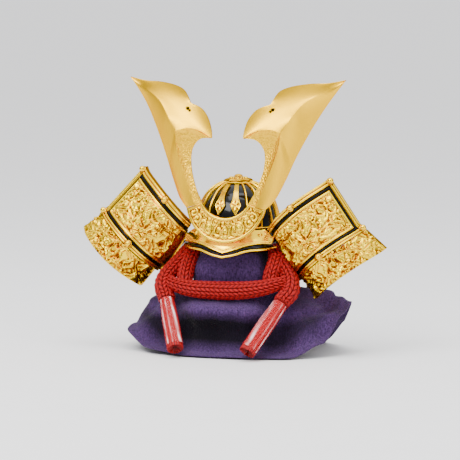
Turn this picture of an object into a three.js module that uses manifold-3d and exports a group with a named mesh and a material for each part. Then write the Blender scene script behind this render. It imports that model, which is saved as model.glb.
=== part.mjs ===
// A kabuto, the samurai helmet, in display size on a stand draped with cloth.
// Millimetres, +Z up, the helmet faces -Y, the floor is z = 0 and +X is on the viewer's right.
// Bowl, visor, crest with two flat horns, neck guard with turned-back wings, chin cord and tassels.
import * as THREE from 'three';
import { mergeVertices } from 'three/addons/utils/BufferGeometryUtils.js';
import Module from 'manifold-3d';

// Clearances
const GAP = 0.35;
const SEAT = 0.5;

// Stand
const COLUMN_WIDTH = 76;
const COLUMN_DEPTH = 84;
const COLUMN_HEIGHT = 106;
const FOOT_WIDTH = 130;
const FOOT_DEPTH = 100;
const FOOT_THICKNESS = 12;
const PEG_RADIUS = 12;
const CLOTH_WALL = 1.6;
const COLUMN_TAPER = 6;
const CLOTH_SPREAD = 128;
const CLOTH_FLARE_HEIGHT = 0.68 * COLUMN_HEIGHT;

// Bowl
const BOWL_WIDTH = 90;
const BOWL_DEPTH = 104;
const BOWL_HEIGHT = 65;
const BOWL_WALL = 2;
const BOWL_FULLNESS = 2.6;
const BOWL_LIFT = 12;
const RIB_SPACING_DEG = 20;
const RIB_WIDTH = 1.5;
const RIB_HEIGHT = 1.3;
const BAND_HEIGHT = 17;
const BAND_WALL = 1.2;
const FRONT_PLATE_LENGTH = 30;
const FRONT_PLATE_WIDTH = 12;
const FRONT_PLATE_WALL = 1.2;
const ROSETTE_RADIUS = 16;
const ROSETTE_PETALS = 8;
const FINIAL_RADIUS = 5;
const FINIAL_HEIGHT = 2.6;

// Visor
const VISOR_WIDTH = 102;
const VISOR_PROJECTION = 17;
const VISOR_DROP = 27.5;
const VISOR_WALL = 1.6;
const VISOR_RIM_RADIUS = 1.3;
const RIVET_RADIUS = 2.2;

// Crest
const CREST_RADIUS = 44.4;
const CREST_INNER_RADIUS = 29.1;
const CREST_CENTRE_LIFT = 44.4;
const CREST_INNER_LIFT = 56;
const CREST_WALL = 3.6;
const CREST_LEAN = 0.15;
const CREST_RELIEF = 1.2;
const HORN_SPAN = 241.4;
const HORN_RISE = 141;
const HORN_SWEEP = 52;
const HORN_WALL = 2.4;
const HORN_HOLE_RADIUS = 1.5;

// Neck guard and wings
const GUARD_LEAN_DEG = 2.1;
const LAME_COUNT = 3;
const LAME_HEIGHT = 14;
const LAME_FLARE = 12;
const LAME_WALL = 1.8;
const LAME_LAP = 3;
const WING_SPAN = 345;
const WING_RISE = 130;
const WING_PROJECTION = 62;
const WING_WALL = 8;
const LOWER_WING_WALL = 7;
const WING_MOULDING = 6.4;
const WING_INLAY_WIDTH = 3.2;
const WING_BORDER = 2.8;
const WING_CURL = 2.2;
const WING_RELIEF = 2;
const STUD_RADIUS = 3.5;

// Chin cord and its tassels
const CORD_DIAMETER = 14;
const SIDE_STRAND_DIAMETER = 11;
const TASSEL_LENGTH = 64;
const TASSEL_RADIUS = 8.6;
const SLEEVE_WALL = 0.5;

// Places that follow from the sizes
const RIM_Z = COLUMN_HEIGHT + BOWL_LIFT;
const BOWL_TOP_Z = RIM_Z + BOWL_HEIGHT;
const BAND_TOP_Z = RIM_Z + 1 + BAND_HEIGHT;
const CREST_BOTTOM_Z = RIM_Z + 3;
const GUARD_TOP_Z = RIM_Z + 6;
const WING_BOTTOM_Z = RIM_Z - 54;

const wasm = await Module();
wasm.setup();
const helmet = new THREE.Group();

// Colours and finishes
const finish = (color, roughness, metalness) => ({ color, roughness, metalness });
const GOLD = finish(0xd9a441, 0.28, 1);
const PALE_GOLD = finish(0xe9c67a, 0.35, 1);
const CAST_GOLD = finish(0xd8ac4f, 0.38, 1);
const BLACK_LACQUER = finish(0x0b0b0c, 0.12, 0);
const RED_CORD = finish(0xb5121b, 0.75, 0);
const CLEAR_FILM = finish(0xf2dede, 0.1, 0);
const PURPLE_CLOTH = finish(0x54407e, 0.9, 0);
const WOOD = finish(0x8a6a45, 0.7, 0);

function add(name, geometry, look, parent = helmet) {
  const mesh = new THREE.Mesh(geometry, new THREE.MeshStandardMaterial(look));
  mesh.name = name;
  parent.add(mesh);
  return mesh;
}

// Points, rows and curves
const at = (x, forward, z) => new THREE.Vector3(x, -forward, z);
const lerp = THREE.MathUtils.lerp;
const radians = THREE.MathUtils.degToRad;
const steps = (from, to, count) => Array.from({ length: count + 1 }, (_, i) => lerp(from, to, i / count));
const spline = (points) => new THREE.CatmullRomCurve3(points, false, 'centripetal');
const SIDES = [['left', -1], ['right', 1]];

// Closed body from points and triangles, with shared points merged and its faces turned outward
function solid(points, faces) {
  const raw = new THREE.BufferGeometry();
  raw.setAttribute('position', new THREE.Float32BufferAttribute(points.flatMap((p) => [p.x, p.y, p.z]), 3));
  raw.setIndex(faces.flat());
  const merged = mergeVertices(raw, 1e-4);
  const position = merged.getAttribute('position');
  const index = Array.from(merged.getIndex().array);
  const corner = (i) => new THREE.Vector3().fromBufferAttribute(position, i);
  const kept = [];
  let volume = 0;
  for (let i = 0; i < index.length; i += 3) {
    const [a, b, c] = index.slice(i, i + 3);
    if (a === b || b === c || c === a) continue;
    kept.push([a, b, c]);
    volume += corner(a).dot(corner(b).cross(corner(c)));
  }
  merged.setIndex((volume < 0 ? kept.map(([a, b, c]) => [a, c, b]) : kept).flat());
  merged.computeVertexNormals();
  return merged;
}

// Faces of one grid of points, rows by columns
function gridFaces(rows, cols, start = 0, ringed = false) {
  const id = (i, j) => start + (i % rows) * cols + j;
  const faces = [];
  for (let i = 0; i < (ringed ? rows : rows - 1); i += 1) {
    for (let j = 0; j < cols - 1; j += 1) {
      faces.push([id(i, j), id(i + 1, j), id(i + 1, j + 1)], [id(i, j), id(i + 1, j + 1), id(i, j + 1)]);
    }
  }
  return faces;
}

// Solid between an open skin and the same skin moved by back(point, index)
function thicken(points, faces, back) {
  const flat = new THREE.BufferGeometry();
  flat.setAttribute('position', new THREE.Float32BufferAttribute(points.flatMap((p) => [p.x, p.y, p.z]), 3));
  flat.setIndex(faces.flat());
  const merged = mergeVertices(flat, 1e-3);
  const position = merged.getAttribute('position');
  const index = Array.from(merged.getIndex().array);
  merged.computeVertexNormals();
  const normals = merged.getAttribute('normal');
  const count = position.count;
  const all = [];
  for (let i = 0; i < count; i += 1) all.push(new THREE.Vector3().fromBufferAttribute(position, i));
  for (let i = 0; i < count; i += 1) {
    all.push(back(all[i], new THREE.Vector3().fromBufferAttribute(normals, i)));
  }
  const triangles = [];
  const edges = new Map();
  for (let i = 0; i < index.length; i += 3) {
    const [a, b, c] = index.slice(i, i + 3);
    if (a === b || b === c || c === a) continue;
    triangles.push([a, b, c], [a + count, c + count, b + count]);
    for (const [p, q] of [[a, b], [b, c], [c, a]]) edges.set(`${p},${q}`, [p, q]);
  }
  for (const [p, q] of edges.values()) {
    if (edges.has(`${q},${p}`)) continue;
    triangles.push([q, p, p + count], [q, p + count, q + count]);
  }
  return solid(all, triangles);
}

// Solid between two grids of the same size; a ringed grid closes on itself along its rows
function between(front, back, ringed = false) {
  const rows = front.length;
  const cols = front[0].length;
  const behind = rows * cols;
  const faces = gridFaces(rows, cols, 0, ringed);
  for (const [a, b, c] of gridFaces(rows, cols, behind, ringed)) faces.push([a, c, b]);
  const id = (i, j) => (i % rows) * cols + j;
  const wall = (a, b) => faces.push([b, a, a + behind], [b, a + behind, b + behind]);
  for (let i = 0; i < (ringed ? rows : rows - 1); i += 1) {
    wall(id(i + 1, cols - 1), id(i + 1, cols - 1) && id(i, cols - 1));
    wall(id(i, 0), id(i + 1, 0));
  }
  if (!ringed) {
    for (let j = 0; j < cols - 1; j += 1) {
      wall(id(0, j + 1), id(0, j));
      wall(id(rows - 1, j), id(rows - 1, j + 1));
    }
  }
  return solid([...front.flat(), ...back.flat()], faces);
}

const skin = (grid, back, ringed = false) => (
  thicken(grid.flat(), gridFaces(grid.length, grid[0].length, 0, ringed), back)
);

// Boolean joins and cuts
function toManifold(geometry) {
  const clean = geometry.clone();
  clean.deleteAttribute('normal');
  clean.deleteAttribute('uv');
  const merged = mergeVertices(clean, 1e-4);
  return new wasm.Manifold(new wasm.Mesh({
    numProp: 3,
    vertProperties: new Float32Array(merged.getAttribute('position').array),
    triVerts: new Uint32Array(merged.getIndex().array),
  }));
}

function fromManifold(body) {
  const mesh = body.getMesh();
  const geometry = new THREE.BufferGeometry();
  geometry.setAttribute('position', new THREE.BufferAttribute(new Float32Array(mesh.vertProperties), 3));
  geometry.setIndex(Array.from(mesh.triVerts));
  geometry.computeVertexNormals();
  return geometry;
}

const joined = (first, ...rest) => (
  fromManifold(rest.reduce((sum, piece) => sum.add(toManifold(piece)), toManifold(first)))
);
const cut = (body, ...tools) => (
  fromManifold(tools.reduce((left, tool) => left.subtract(toManifold(tool)), toManifold(body)))
);

// Turned piece about +Z, from rows of radius and height
function turned(profile, segments) {
  const lathe = new THREE.LatheGeometry(profile.map(([r, z]) => new THREE.Vector2(r, z)), segments);
  lathe.rotateX(Math.PI / 2);
  lathe.deleteAttribute('normal');
  lathe.deleteAttribute('uv');
  const merged = mergeVertices(lathe, 1e-4);
  const position = merged.getAttribute('position');
  const points = [];
  for (let i = 0; i < position.count; i += 1) points.push(new THREE.Vector3().fromBufferAttribute(position, i));
  const index = Array.from(merged.getIndex().array);
  const faces = [];
  for (let i = 0; i < index.length; i += 3) faces.push(index.slice(i, i + 3));
  return solid(points, faces);
}

// Round bar along a curve
function bar(curve, radius, sides, count) {
  const section = new THREE.Shape(steps(0, 2 * Math.PI, sides).slice(0, sides).map(
    (a) => new THREE.Vector2(radius * Math.cos(a), radius * Math.sin(a)),
  ));
  return new THREE.ExtrudeGeometry(section, { steps: count, extrudePath: curve, bevelEnabled: false });
}

// Bowl surface: angle from the front towards +X, height, and distance out from the bowl
const bowlRadius = (z) => (
  (1 - Math.max((z - RIM_Z) / BOWL_HEIGHT, 0) ** BOWL_FULLNESS) ** (1 / BOWL_FULLNESS)
);
function onBowl(angle, z, out = 0) {
  const share = bowlRadius(Math.min(z, BOWL_TOP_Z));
  const low = Math.max((z - RIM_Z) / BOWL_HEIGHT, 0) ** (BOWL_FULLNESS - 1);
  const side = share ** (BOWL_FULLNESS - 1);
  const normal = new THREE.Vector3(
    (Math.sin(angle) * side * 2) / BOWL_WIDTH,
    (-Math.cos(angle) * side * 2) / BOWL_DEPTH,
    low / BOWL_HEIGHT,
  ).normalize();
  const place = at(
    (Math.sin(angle) * share * BOWL_WIDTH) / 2,
    (Math.cos(angle) * share * BOWL_DEPTH) / 2,
    z,
  );
  return place.addScaledVector(normal, out);
}

// Heights down the bowl, crowded where it turns over
const bowlHeights = (from, to, count) => steps(0, 1, count).map(
  (t) => from + (to - from) * Math.sin((t * Math.PI) / 2),
);

function bowl() {
  const angles = steps(0, 2 * Math.PI, 24).slice(0, 24);
  const heights = bowlHeights(RIM_Z, BOWL_TOP_Z, 6);
  const shell = (out) => angles.map((a) => heights.map((z) => onBowl(a, z, out)));
  const inner = shell(-BOWL_WALL).map((row) => row.map((p) => (p.z < RIM_Z ? p.setZ(RIM_Z) : p)));
  return between(shell(0), inner, true);
}

function bowlBand() {
  const angles = steps(0, 2 * Math.PI, 24).slice(0, 24);
  const heights = [RIM_Z + 1, BAND_TOP_Z - 1.6];
  const wall = (out) => angles.map((a) => heights.map((z) => {
    const p = onBowl(a, RIM_Z, out);
    return p.setZ(z);
  }));
  return between(wall(GAP + BAND_WALL), wall(GAP), true);
}

// Thin gold ribs from the band to the crown, joined by a ring at each end
const RIB_TOP_Z = BOWL_TOP_Z - 1.2;
function bowlRibs() {
  const foot = GAP + 0.6;
  const crest = foot + RIB_HEIGHT;
  const ring = (z, height, extra) => {
    const angles = steps(0, 2 * Math.PI, 18).slice(0, 18);
    const wall = (out) => angles.map((a) => [z, z + height].map((h) => onBowl(a, h, out)));
    return between(wall(crest + extra), wall(foot), true);
  };
  const ribs = [];
  for (let angle = RIB_SPACING_DEG * 1.5; angle < 360 - RIB_SPACING_DEG; angle += RIB_SPACING_DEG) {
    const middle = radians(angle);
    const heights = bowlHeights(BAND_TOP_Z - 0.8, RIB_TOP_Z + 0.3, 5);
    const strip = (out) => [-1, 1].map((edge) => heights.map((z) => {
      const p = onBowl(middle, z, out);
      const tangent = new THREE.Vector3(Math.cos(middle), Math.sin(middle), 0);
      return p.addScaledVector(tangent, (edge * RIB_WIDTH) / 2);
    }));
    ribs.push(between(strip(crest), strip(foot)));
  }
  return joined(ring(BAND_TOP_Z - 1.2, 1.8, 0.7), ring(RIB_TOP_Z - 0.6, 1.4, 0), ...ribs);
}

// Front plate: share of its length from the crown, share of its width
const FRONT_PLATE_SECTIONS = [
  { down: 0, width: 0.5 },
  { down: 0.3, width: 0.66 },
  { down: 0.52, width: 0.8 },
  { down: 0.74, width: 1 },
  { down: 1, width: 0.04 },
];
function frontPlate(side) {
  const middle = side * radians(RIB_SPACING_DEG / 2 + 2);
  const top = BOWL_TOP_Z - 3.6;
  const sheet = (out) => FRONT_PLATE_SECTIONS.map(({ down, width }) => [-1, 0, 1].map((edge) => {
    const z = top - down ** 1.35 * FRONT_PLATE_LENGTH;
    const p = onBowl(middle, z, out - Math.abs(edge) * 0.5);
    const tangent = new THREE.Vector3(Math.cos(middle), Math.sin(middle), 0);
    return p.addScaledVector(tangent, (edge * width * FRONT_PLATE_WIDTH) / 2);
  }));
  const inside = GAP + 1.1;
  return between(sheet(inside + FRONT_PLATE_WALL + 0.4), sheet(inside));
}

function crownRosette() {
  const count = ROSETTE_PETALS * 3;
  const angles = steps(0, 2 * Math.PI, count).slice(0, count);
  const petal = (a) => 1 - 0.16 * Math.abs(Math.cos((a * ROSETTE_PETALS) / 2)) ** 0.7;
  const clear = GAP + RIB_HEIGHT + 1;
  const tiers = [
    { radius: 0, lift: clear + 2.6 },
    { radius: 0.5, lift: clear + 2.4 },
    { radius: 0.62, lift: clear + 1.4 },
    { radius: 0.84, lift: clear + 1.6 },
    { radius: 1, lift: clear + 0.7 },
  ];
  const drop = (r) => {
    const share = Math.min((2 * r) / BOWL_WIDTH, 1);
    return RIM_Z + BOWL_HEIGHT * (1 - share ** BOWL_FULLNESS) ** (1 / BOWL_FULLNESS);
  };
  const sheet = (under) => angles.map((a) => tiers.map(({ radius, lift }) => {
    const r = radius * ROSETTE_RADIUS * (radius > 0.6 ? petal(a) : 1);
    return at(r * Math.sin(a), (r * Math.cos(a) * BOWL_DEPTH) / BOWL_WIDTH, drop(r) + (under ? clear : lift));
  }));
  return between(sheet(false), sheet(true), true);
}

function crownFinial() {
  const seat = BOWL_TOP_Z + GAP + RIB_HEIGHT + 1 + 2.6 + GAP;
  return turned([
    [0, seat],
    [FINIAL_RADIUS, seat],
    [FINIAL_RADIUS, seat + FINIAL_HEIGHT * 0.3],
    [FINIAL_RADIUS * 0.8, seat + FINIAL_HEIGHT * 0.7],
    [FINIAL_RADIUS * 0.4, seat + FINIAL_HEIGHT * 0.95],
    [0, seat + FINIAL_HEIGHT],
  ], 14);
}

// Visor sections from the middle to one end.
// across: share of half the width. out: share of the projection past the band's front.
// down: share of the drop below the plate's upper edge.
const VISOR_BORDER = [
  { across: 0, out: 0.83, down: 0.87 },
  { across: 0.235, out: 0.69, down: 0.73 },
  { across: 0.47, out: 0.4, down: 0.57 },
  { across: 0.7, out: -0.07, down: 0.51 },
  { across: 0.937, out: -0.71, down: 0.54 },
];
const VISOR_RIM = [
  { across: 0, out: 1, down: 1 },
  { across: 0.216, out: 0.87, down: 0.93 },
  { across: 0.51, out: 0.49, down: 0.77 },
  { across: 0.82, out: -0.19, down: 0.73 },
  { across: 1, out: -1.1, down: 0.68 },
];
const VISOR_TOP_Z = BAND_TOP_Z - 2;
const VISOR_SPREAD = radians(52);
const bandFront = BOWL_DEPTH / 2 + GAP + BAND_WALL;
const bandSide = BOWL_WIDTH / 2 + GAP + BAND_WALL;
const visorCurve = (table, side) => spline(table.map(({ across, out, down }) => at(
  (side * across * VISOR_WIDTH) / 2,
  bandFront + out * VISOR_PROJECTION,
  VISOR_TOP_Z - down * VISOR_DROP,
)));
function visorLine(table, count) {
  const left = visorCurve(table, -1).getSpacedPoints(count).reverse();
  return [...left, ...visorCurve(table, 1).getSpacedPoints(count).slice(1)];
}
const visorTop = (count) => steps(-1, 1, 2 * count).map((share) => at(
  (bandSide + SEAT + VISOR_WALL) * Math.sin(share * VISOR_SPREAD),
  (bandFront + SEAT + VISOR_WALL) * Math.cos(share * VISOR_SPREAD),
  VISOR_TOP_Z,
));
function visorGrid() {
  const count = 10;
  const top = visorTop(count);
  const border = visorLine(VISOR_BORDER, count);
  return top.map((upper, i) => steps(0, 1, 4).map((v) => {
    const p = upper.clone().lerp(border[i], v);
    const end = Math.abs(i / count - 1) ** 5;
    p.x += Math.sign(i - count) * end * 5.5 * 4 * v * (1 - v);
    p.z -= 2.2 * Math.sin(v * Math.PI) * (1 - end);
    return p;
  }));
}
const visorPlate = () => skin(visorGrid(), (p, n) => p.clone().addScaledVector(n, -Math.sign(n.z) * VISOR_WALL));
function visorBand() {
  const count = 10;
  const border = visorLine(VISOR_BORDER, count);
  const rim = visorLine(VISOR_RIM, count);
  const grid = border.map((upper, i) => {
    const way = rim[i].clone().sub(upper);
    const reach = way.length();
    return [GAP + 1.3, reach - VISOR_RIM_RADIUS - GAP - 1.2].map((d) => (
      upper.clone().addScaledVector(way, d / reach).add(at(0, -0.4, -0.3))
    ));
  });
  return skin(grid, (p) => p.clone().add(at(0, -VISOR_WALL, 0)));
}
const visorRim = () => bar(spline(visorLine(VISOR_RIM, 8)), VISOR_RIM_RADIUS, 6, 24);
function rivet(side) {
  const grid = visorGrid();
  const i = side > 0 ? grid.length - 3 : 2;
  const across = grid[i + 1][1].clone().sub(grid[i - 1][1]);
  const down = grid[i][2].clone().sub(grid[i][0]);
  const normal = across.cross(down).normalize();
  if (normal.y > 0) normal.negate();
  const geometry = turned([[0, 0], [RIVET_RADIUS, 0], [RIVET_RADIUS * 0.8, 0.9], [0, 1.5]], 10);
  return place(geometry, grid[i][1].clone().addScaledVector(normal, SEAT), normal);
}

// Scrolling relief of the cast plates: height from 0 to 1 at a place in millimetres
function scrolls(x, y, pitch) {
  const row = Math.round(y / pitch);
  const shift = (row % 2) * 0.5;
  const cx = (Math.round(x / pitch - shift) + shift) * pitch;
  const cy = row * pitch;
  const r = Math.hypot(x - cx, y - cy) / pitch;
  const turn = Math.atan2(y - cy, x - cx);
  return Math.max(0, 1 - r * 1.5) * (0.65 + 0.35 * Math.cos(turn * 2 + r * 14));
}

// Crest base: a crescent plate in front of the visor that carries the horns
const CREST_END_DEG = 79;
const CREST_INNER_END_DEG = 61.5;
const crestForward = (x, z) => (
  bandFront + 11.75 - CREST_LEAN * (z - CREST_BOTTOM_Z) - 0.0026 * x * x
);
const crestPoint = (across, inward) => {
  const outer = across * radians(CREST_END_DEG);
  const inner = across * radians(CREST_INNER_END_DEG);
  const x = lerp(CREST_RADIUS * Math.sin(outer), CREST_INNER_RADIUS * Math.sin(inner), inward);
  const z = CREST_BOTTOM_Z + lerp(
    CREST_CENTRE_LIFT - CREST_RADIUS * Math.cos(outer),
    CREST_INNER_LIFT - CREST_INNER_RADIUS * Math.cos(inner),
    inward,
  );
  return [x, z];
};
const CREST_RIM_HEIGHT = 1.4;
const CREST_COLUMNS = [
  { inward: 0, height: 0.2 },
  { inward: 0.07, height: 1 },
  { inward: 0.15, height: 0 },
  { inward: 0.33, height: 0 },
  { inward: 0.5, height: 0 },
  { inward: 0.67, height: 0 },
  { inward: 0.85, height: 0 },
  { inward: 0.93, height: 1 },
  { inward: 1, height: 0.2 },
];
function crestBase() {
  const grid = steps(-1, 1, 20).map((across) => CREST_COLUMNS.map(({ inward, height }) => {
    const [x, z] = crestPoint(across, inward);
    const field = inward > 0.2 && inward < 0.8 && Math.abs(across) < 0.97;
    const relief = field ? CREST_RELIEF * (0.25 + scrolls(across * 60, inward * 22, 7.5)) : 0;
    return at(x, crestForward(x, z) + height * CREST_RIM_HEIGHT + relief, z);
  }));
  const back = grid.map((row, i) => row.map((p, j) => {
    const [x, z] = crestPoint(lerp(-1, 1, i / 20), CREST_COLUMNS[j].inward);
    return at(x, crestForward(x, z) - CREST_WALL, z);
  }));
  return between(grid, back);
}

// Horn outlines. span: share of half the span. rise: share of the rise above the crest ends.
// sweep: share of the sweep back from the foot to the tip.
const HORN_TIP = { span: 1, rise: 1, sweep: 1 };
const HORN_LOBE = { span: 0.144, rise: 0.552, sweep: 0.19 };
const HORN_FORK = { span: 0.484, rise: 0.599, sweep: 0.21 };
const HORN_NECK = { span: 0.342, rise: 0.4, sweep: 0.25 };
const HORN_NOTCH = { span: 0.371, rise: 0.808, sweep: 0.438 };
const HORN_OUTER = [
  { span: 0.435, rise: 0.085, sweep: 0.2 },
  { span: 0.524, rise: 0.245, sweep: 0.35 },
  { span: 0.599, rise: 0.405, sweep: 0.475 },
  { span: 0.729, rise: 0.638, sweep: 0.71 },
  { span: 0.848, rise: 0.816, sweep: 0.9 },
  HORN_TIP,
];
const HORN_RIDGE = [
  { span: 0.35, rise: 0.191, sweep: 0.083 },
  { span: 0.44, rise: 0.4, sweep: 0.14 },
  { span: 0.472, rise: 0.496, sweep: 0.17 },
  HORN_FORK,
];
const HORN_BROW = [
  HORN_FORK,
  { span: 0.519, rise: 0.645, sweep: 0.256 },
  { span: 0.58, rise: 0.73, sweep: 0.342 },
  { span: 0.667, rise: 0.823, sweep: 0.53 },
  { span: 0.794, rise: 0.894, sweep: 0.76 },
  { span: 0.903, rise: 0.947, sweep: 0.91 },
  HORN_TIP,
];
const HORN_INNER = [
  { span: 0.272, rise: 0.156, sweep: 0.1 },
  { span: 0.33, rise: 0.305, sweep: 0.208 },
  HORN_NECK,
];
const HORN_UNDER = [
  HORN_NECK,
  { span: 0.331, rise: 0.463, sweep: 0.256 },
  { span: 0.299, rise: 0.511, sweep: 0.246 },
  { span: 0.253, rise: 0.543, sweep: 0.227 },
  { span: 0.199, rise: 0.552, sweep: 0.208 },
  HORN_LOBE,
];
const HORN_CREASE = [
  HORN_FORK,
  { span: 0.418, rise: 0.62, sweep: 0.188 },
  { span: 0.35, rise: 0.625, sweep: 0.175 },
  { span: 0.277, rise: 0.615, sweep: 0.175 },
  { span: 0.202, rise: 0.582, sweep: 0.179 },
  HORN_LOBE,
];
const HORN_LOBE_TOP = [
  HORN_LOBE,
  { span: 0.148, rise: 0.6, sweep: 0.215 },
  { span: 0.185, rise: 0.7, sweep: 0.265 },
  { span: 0.25, rise: 0.77, sweep: 0.335 },
  { span: 0.323, rise: 0.8, sweep: 0.4 },
  HORN_NOTCH,
];
const HORN_TOP = [
  HORN_NOTCH,
  { span: 0.385, rise: 0.84, sweep: 0.465 },
  { span: 0.439, rise: 0.91, sweep: 0.525 },
  { span: 0.52, rise: 0.944, sweep: 0.6 },
  { span: 0.688, rise: 0.97, sweep: 0.746 },
  { span: 0.87, rise: 0.976, sweep: 0.895 },
  HORN_TIP,
];
const HORN_FOOT_Z = CREST_BOTTOM_Z + 34;
const HORN_FOOT_FORWARD = crestForward(0, HORN_FOOT_Z) - 0.2;
const hornPlace = (side, { span, rise, sweep }) => at(
  (side * span * HORN_SPAN) / 2,
  HORN_FOOT_FORWARD - sweep * HORN_SWEEP,
  HORN_FOOT_Z + rise * HORN_RISE,
);
// Foot of a horn: clear of the crest's end by a gap, at a share of the way in along that end
function hornFoot(side, inward, out) {
  const [x, z] = crestPoint(1, inward);
  const [x0, z0] = crestPoint(1, 0);
  const [x1, z1] = crestPoint(1, 1);
  const clear = (GAP + 0.2) / Math.hypot(x1 - x0, z1 - z0);
  return at(side * (x + (z1 - z0) * clear), crestForward(x, z) + out, z + (x0 - x1) * clear);
}
function horn(side) {
  const line = (table, count, foot = []) => (
    spline([...foot, ...table.map((row) => hornPlace(side, row))]).getSpacedPoints(count)
  );
  const stem = 7;
  const lobe = 6;
  const head = 4;
  const top = 8;
  const ridgeFoot = [hornFoot(side, 0.55, 1.6)];
  const chain = (...lines) => lines.flatMap((points, i) => (i ? points.slice(1) : points));
  const brow = line(HORN_BROW, lobe + head + top);
  const ridge = chain(line(HORN_RIDGE, stem, ridgeFoot), brow);
  const outer = line(HORN_OUTER, ridge.length - 1, [hornFoot(side, 0, 0)]);
  const inner = chain(line(HORN_INNER, stem, [hornFoot(side, 1, 0)]), line(HORN_UNDER, lobe));
  const crease = chain(line(HORN_RIDGE, stem, ridgeFoot), line(HORN_CREASE, lobe));
  const rim = chain(line(HORN_CREASE, lobe), line(HORN_LOBE_TOP, head), line(HORN_TOP, top));
  const ruled = (a, b, count) => a.map((p, i) => steps(0, 1, count).map((v) => p.clone().lerp(b[i], v)));
  const grids = [ruled(outer, ridge, 1), ruled(crease, inner, 2), ruled(brow, rim, 3)];
  const points = [];
  const faces = [];
  for (const grid of grids) {
    faces.push(...gridFaces(grid.length, grid[0].length, points.length));
    points.push(...grid.flat());
  }
  const blade = thicken(points, faces, (p) => p.clone().add(at(0, -HORN_WALL, 0)));
  const drill = (span, rise) => {
    const bit = new THREE.CylinderGeometry(HORN_HOLE_RADIUS, HORN_HOLE_RADIUS, 30, 8);
    const place = hornPlace(side, { span, rise, sweep: 0.4 });
    return bit.translate(place.x, place.y, place.z);
  };
  return cut(blade, drill(0.392, 0.789), drill(0.41, 0.783));
}

// Wing surface. along: 0 at the inner end to 1 at the outer end. across: 0 at the top to 1 below.
// Each row gives the inner end, the middle and the outer end. x: the inner end as a share of the rise out
// from the root, the other two as shares of the reach from there. z and forward: shares of the wing rise
// and the wing projection.
const WING_ROWS = [
  { across: 0, x: [0, 0.306, 0.834], z: [0.57, 0.765, 1], forward: [0.58, 0.77, 0.23] },
  { across: 0.55, x: [0.246, 0.375, 0.9], z: [0.208, 0.423, 0.644], forward: [0.565, 0.935, 0.4] },
  { across: 0.66, x: [0.3, 0.375, 0.917], z: [0.158, 0.369, 0.596], forward: [0.55, 0.97, 0.385] },
  { across: 1, x: [0.424, 0.444, 1], z: [0, 0.223, 0.45], forward: [0.515, 1, 0.32] },
];
const WING_ROOT_X = 0.943 * bandSide;
const WING_REACH = WING_SPAN / 2 - WING_ROOT_X - 0.424 * WING_RISE;
const UPPER_WING_ACROSS = 0.66;
const WING_LENGTH = 1.2 * Math.hypot(0.834 * WING_REACH, 0.43 * WING_RISE);
const UPPER_WING_HEIGHT = 0.515 * WING_RISE;
const LOWER_WING_HEIGHT = 0.212 * WING_RISE;
// Place along the wing of a distance from its inner end
function alongAt(distance) {
  const share = distance / WING_LENGTH;
  return share * (1 + 0.38 * (1 - share));
}
function wingBase(side, along, across) {
  const upper = WING_ROWS.findIndex((row) => row.across >= across);
  const last = WING_ROWS[Math.max(upper, 1)];
  const first = WING_ROWS[Math.max(upper, 1) - 1];
  const part = (across - first.across) / (last.across - first.across);
  const bend = (key, [a, b, c] = [1, 1, 1], root = 0) => {
    const [inner, second, third] = [0, 1, 2].map((i) => lerp(first[key][i], last[key][i], part));
    const start = inner * a;
    const [middle, end] = [second * b + root * start, third * c + root * start];
    const pull = 2 * middle - (start + end) / 2;
    return (1 - along) ** 2 * start + 2 * along * (1 - along) * pull + along ** 2 * end;
  };
  const curl = WING_CURL * Math.max((along - 0.88) / 0.12, 0) ** 2;
  return at(
    side * (WING_ROOT_X + bend('x', [WING_RISE, WING_REACH, WING_REACH], 1) - curl),
    bend('forward') * WING_PROJECTION - 0.6 * curl,
    WING_BOTTOM_Z + bend('z') * WING_RISE,
  );
}
function wingNormal(side, along, across) {
  const d = 0.01;
  const u = wingBase(side, along + d, across).sub(wingBase(side, along - d, across));
  const v = wingBase(side, along, Math.min(across + d, 1)).sub(wingBase(side, along, Math.max(across - d, 0)));
  const normal = u.cross(v).normalize();
  return normal.y > 0 ? normal.negate() : normal;
}
const onWing = (side, along, across, lift) => (
  wingBase(side, along, across).addScaledVector(wingNormal(side, along, across), lift)
);
// Depth of the moulded edge: share of a full bead at a distance in from the edge
const EDGE_PROFILE = [
  { inset: 0, lift: 0.6 },
  { inset: 0.2 * WING_MOULDING, lift: 2.1 },
  { inset: 0.5 * WING_MOULDING, lift: 1.2 },
  { inset: 0.8 * WING_MOULDING, lift: 2.1 },
  { inset: WING_MOULDING, lift: -0.5 },
  { inset: WING_MOULDING + WING_INLAY_WIDTH, lift: -0.5 },
  { inset: WING_MOULDING + WING_INLAY_WIDTH + 0.5, lift: 1.7 },
  { inset: WING_MOULDING + WING_INLAY_WIDTH + WING_BORDER, lift: 0.6 },
];
const EDGE_WIDTH = EDGE_PROFILE[EDGE_PROFILE.length - 1].inset;
function edgeLift(inset) {
  const next = EDGE_PROFILE.findIndex((row) => row.inset >= inset);
  if (next < 0) return 0;
  if (next === 0) return EDGE_PROFILE[0].lift;
  const [a, b] = [EDGE_PROFILE[next - 1], EDGE_PROFILE[next]];
  return lerp(a.lift, b.lift, (inset - a.inset) / (b.inset - a.inset));
}
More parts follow.
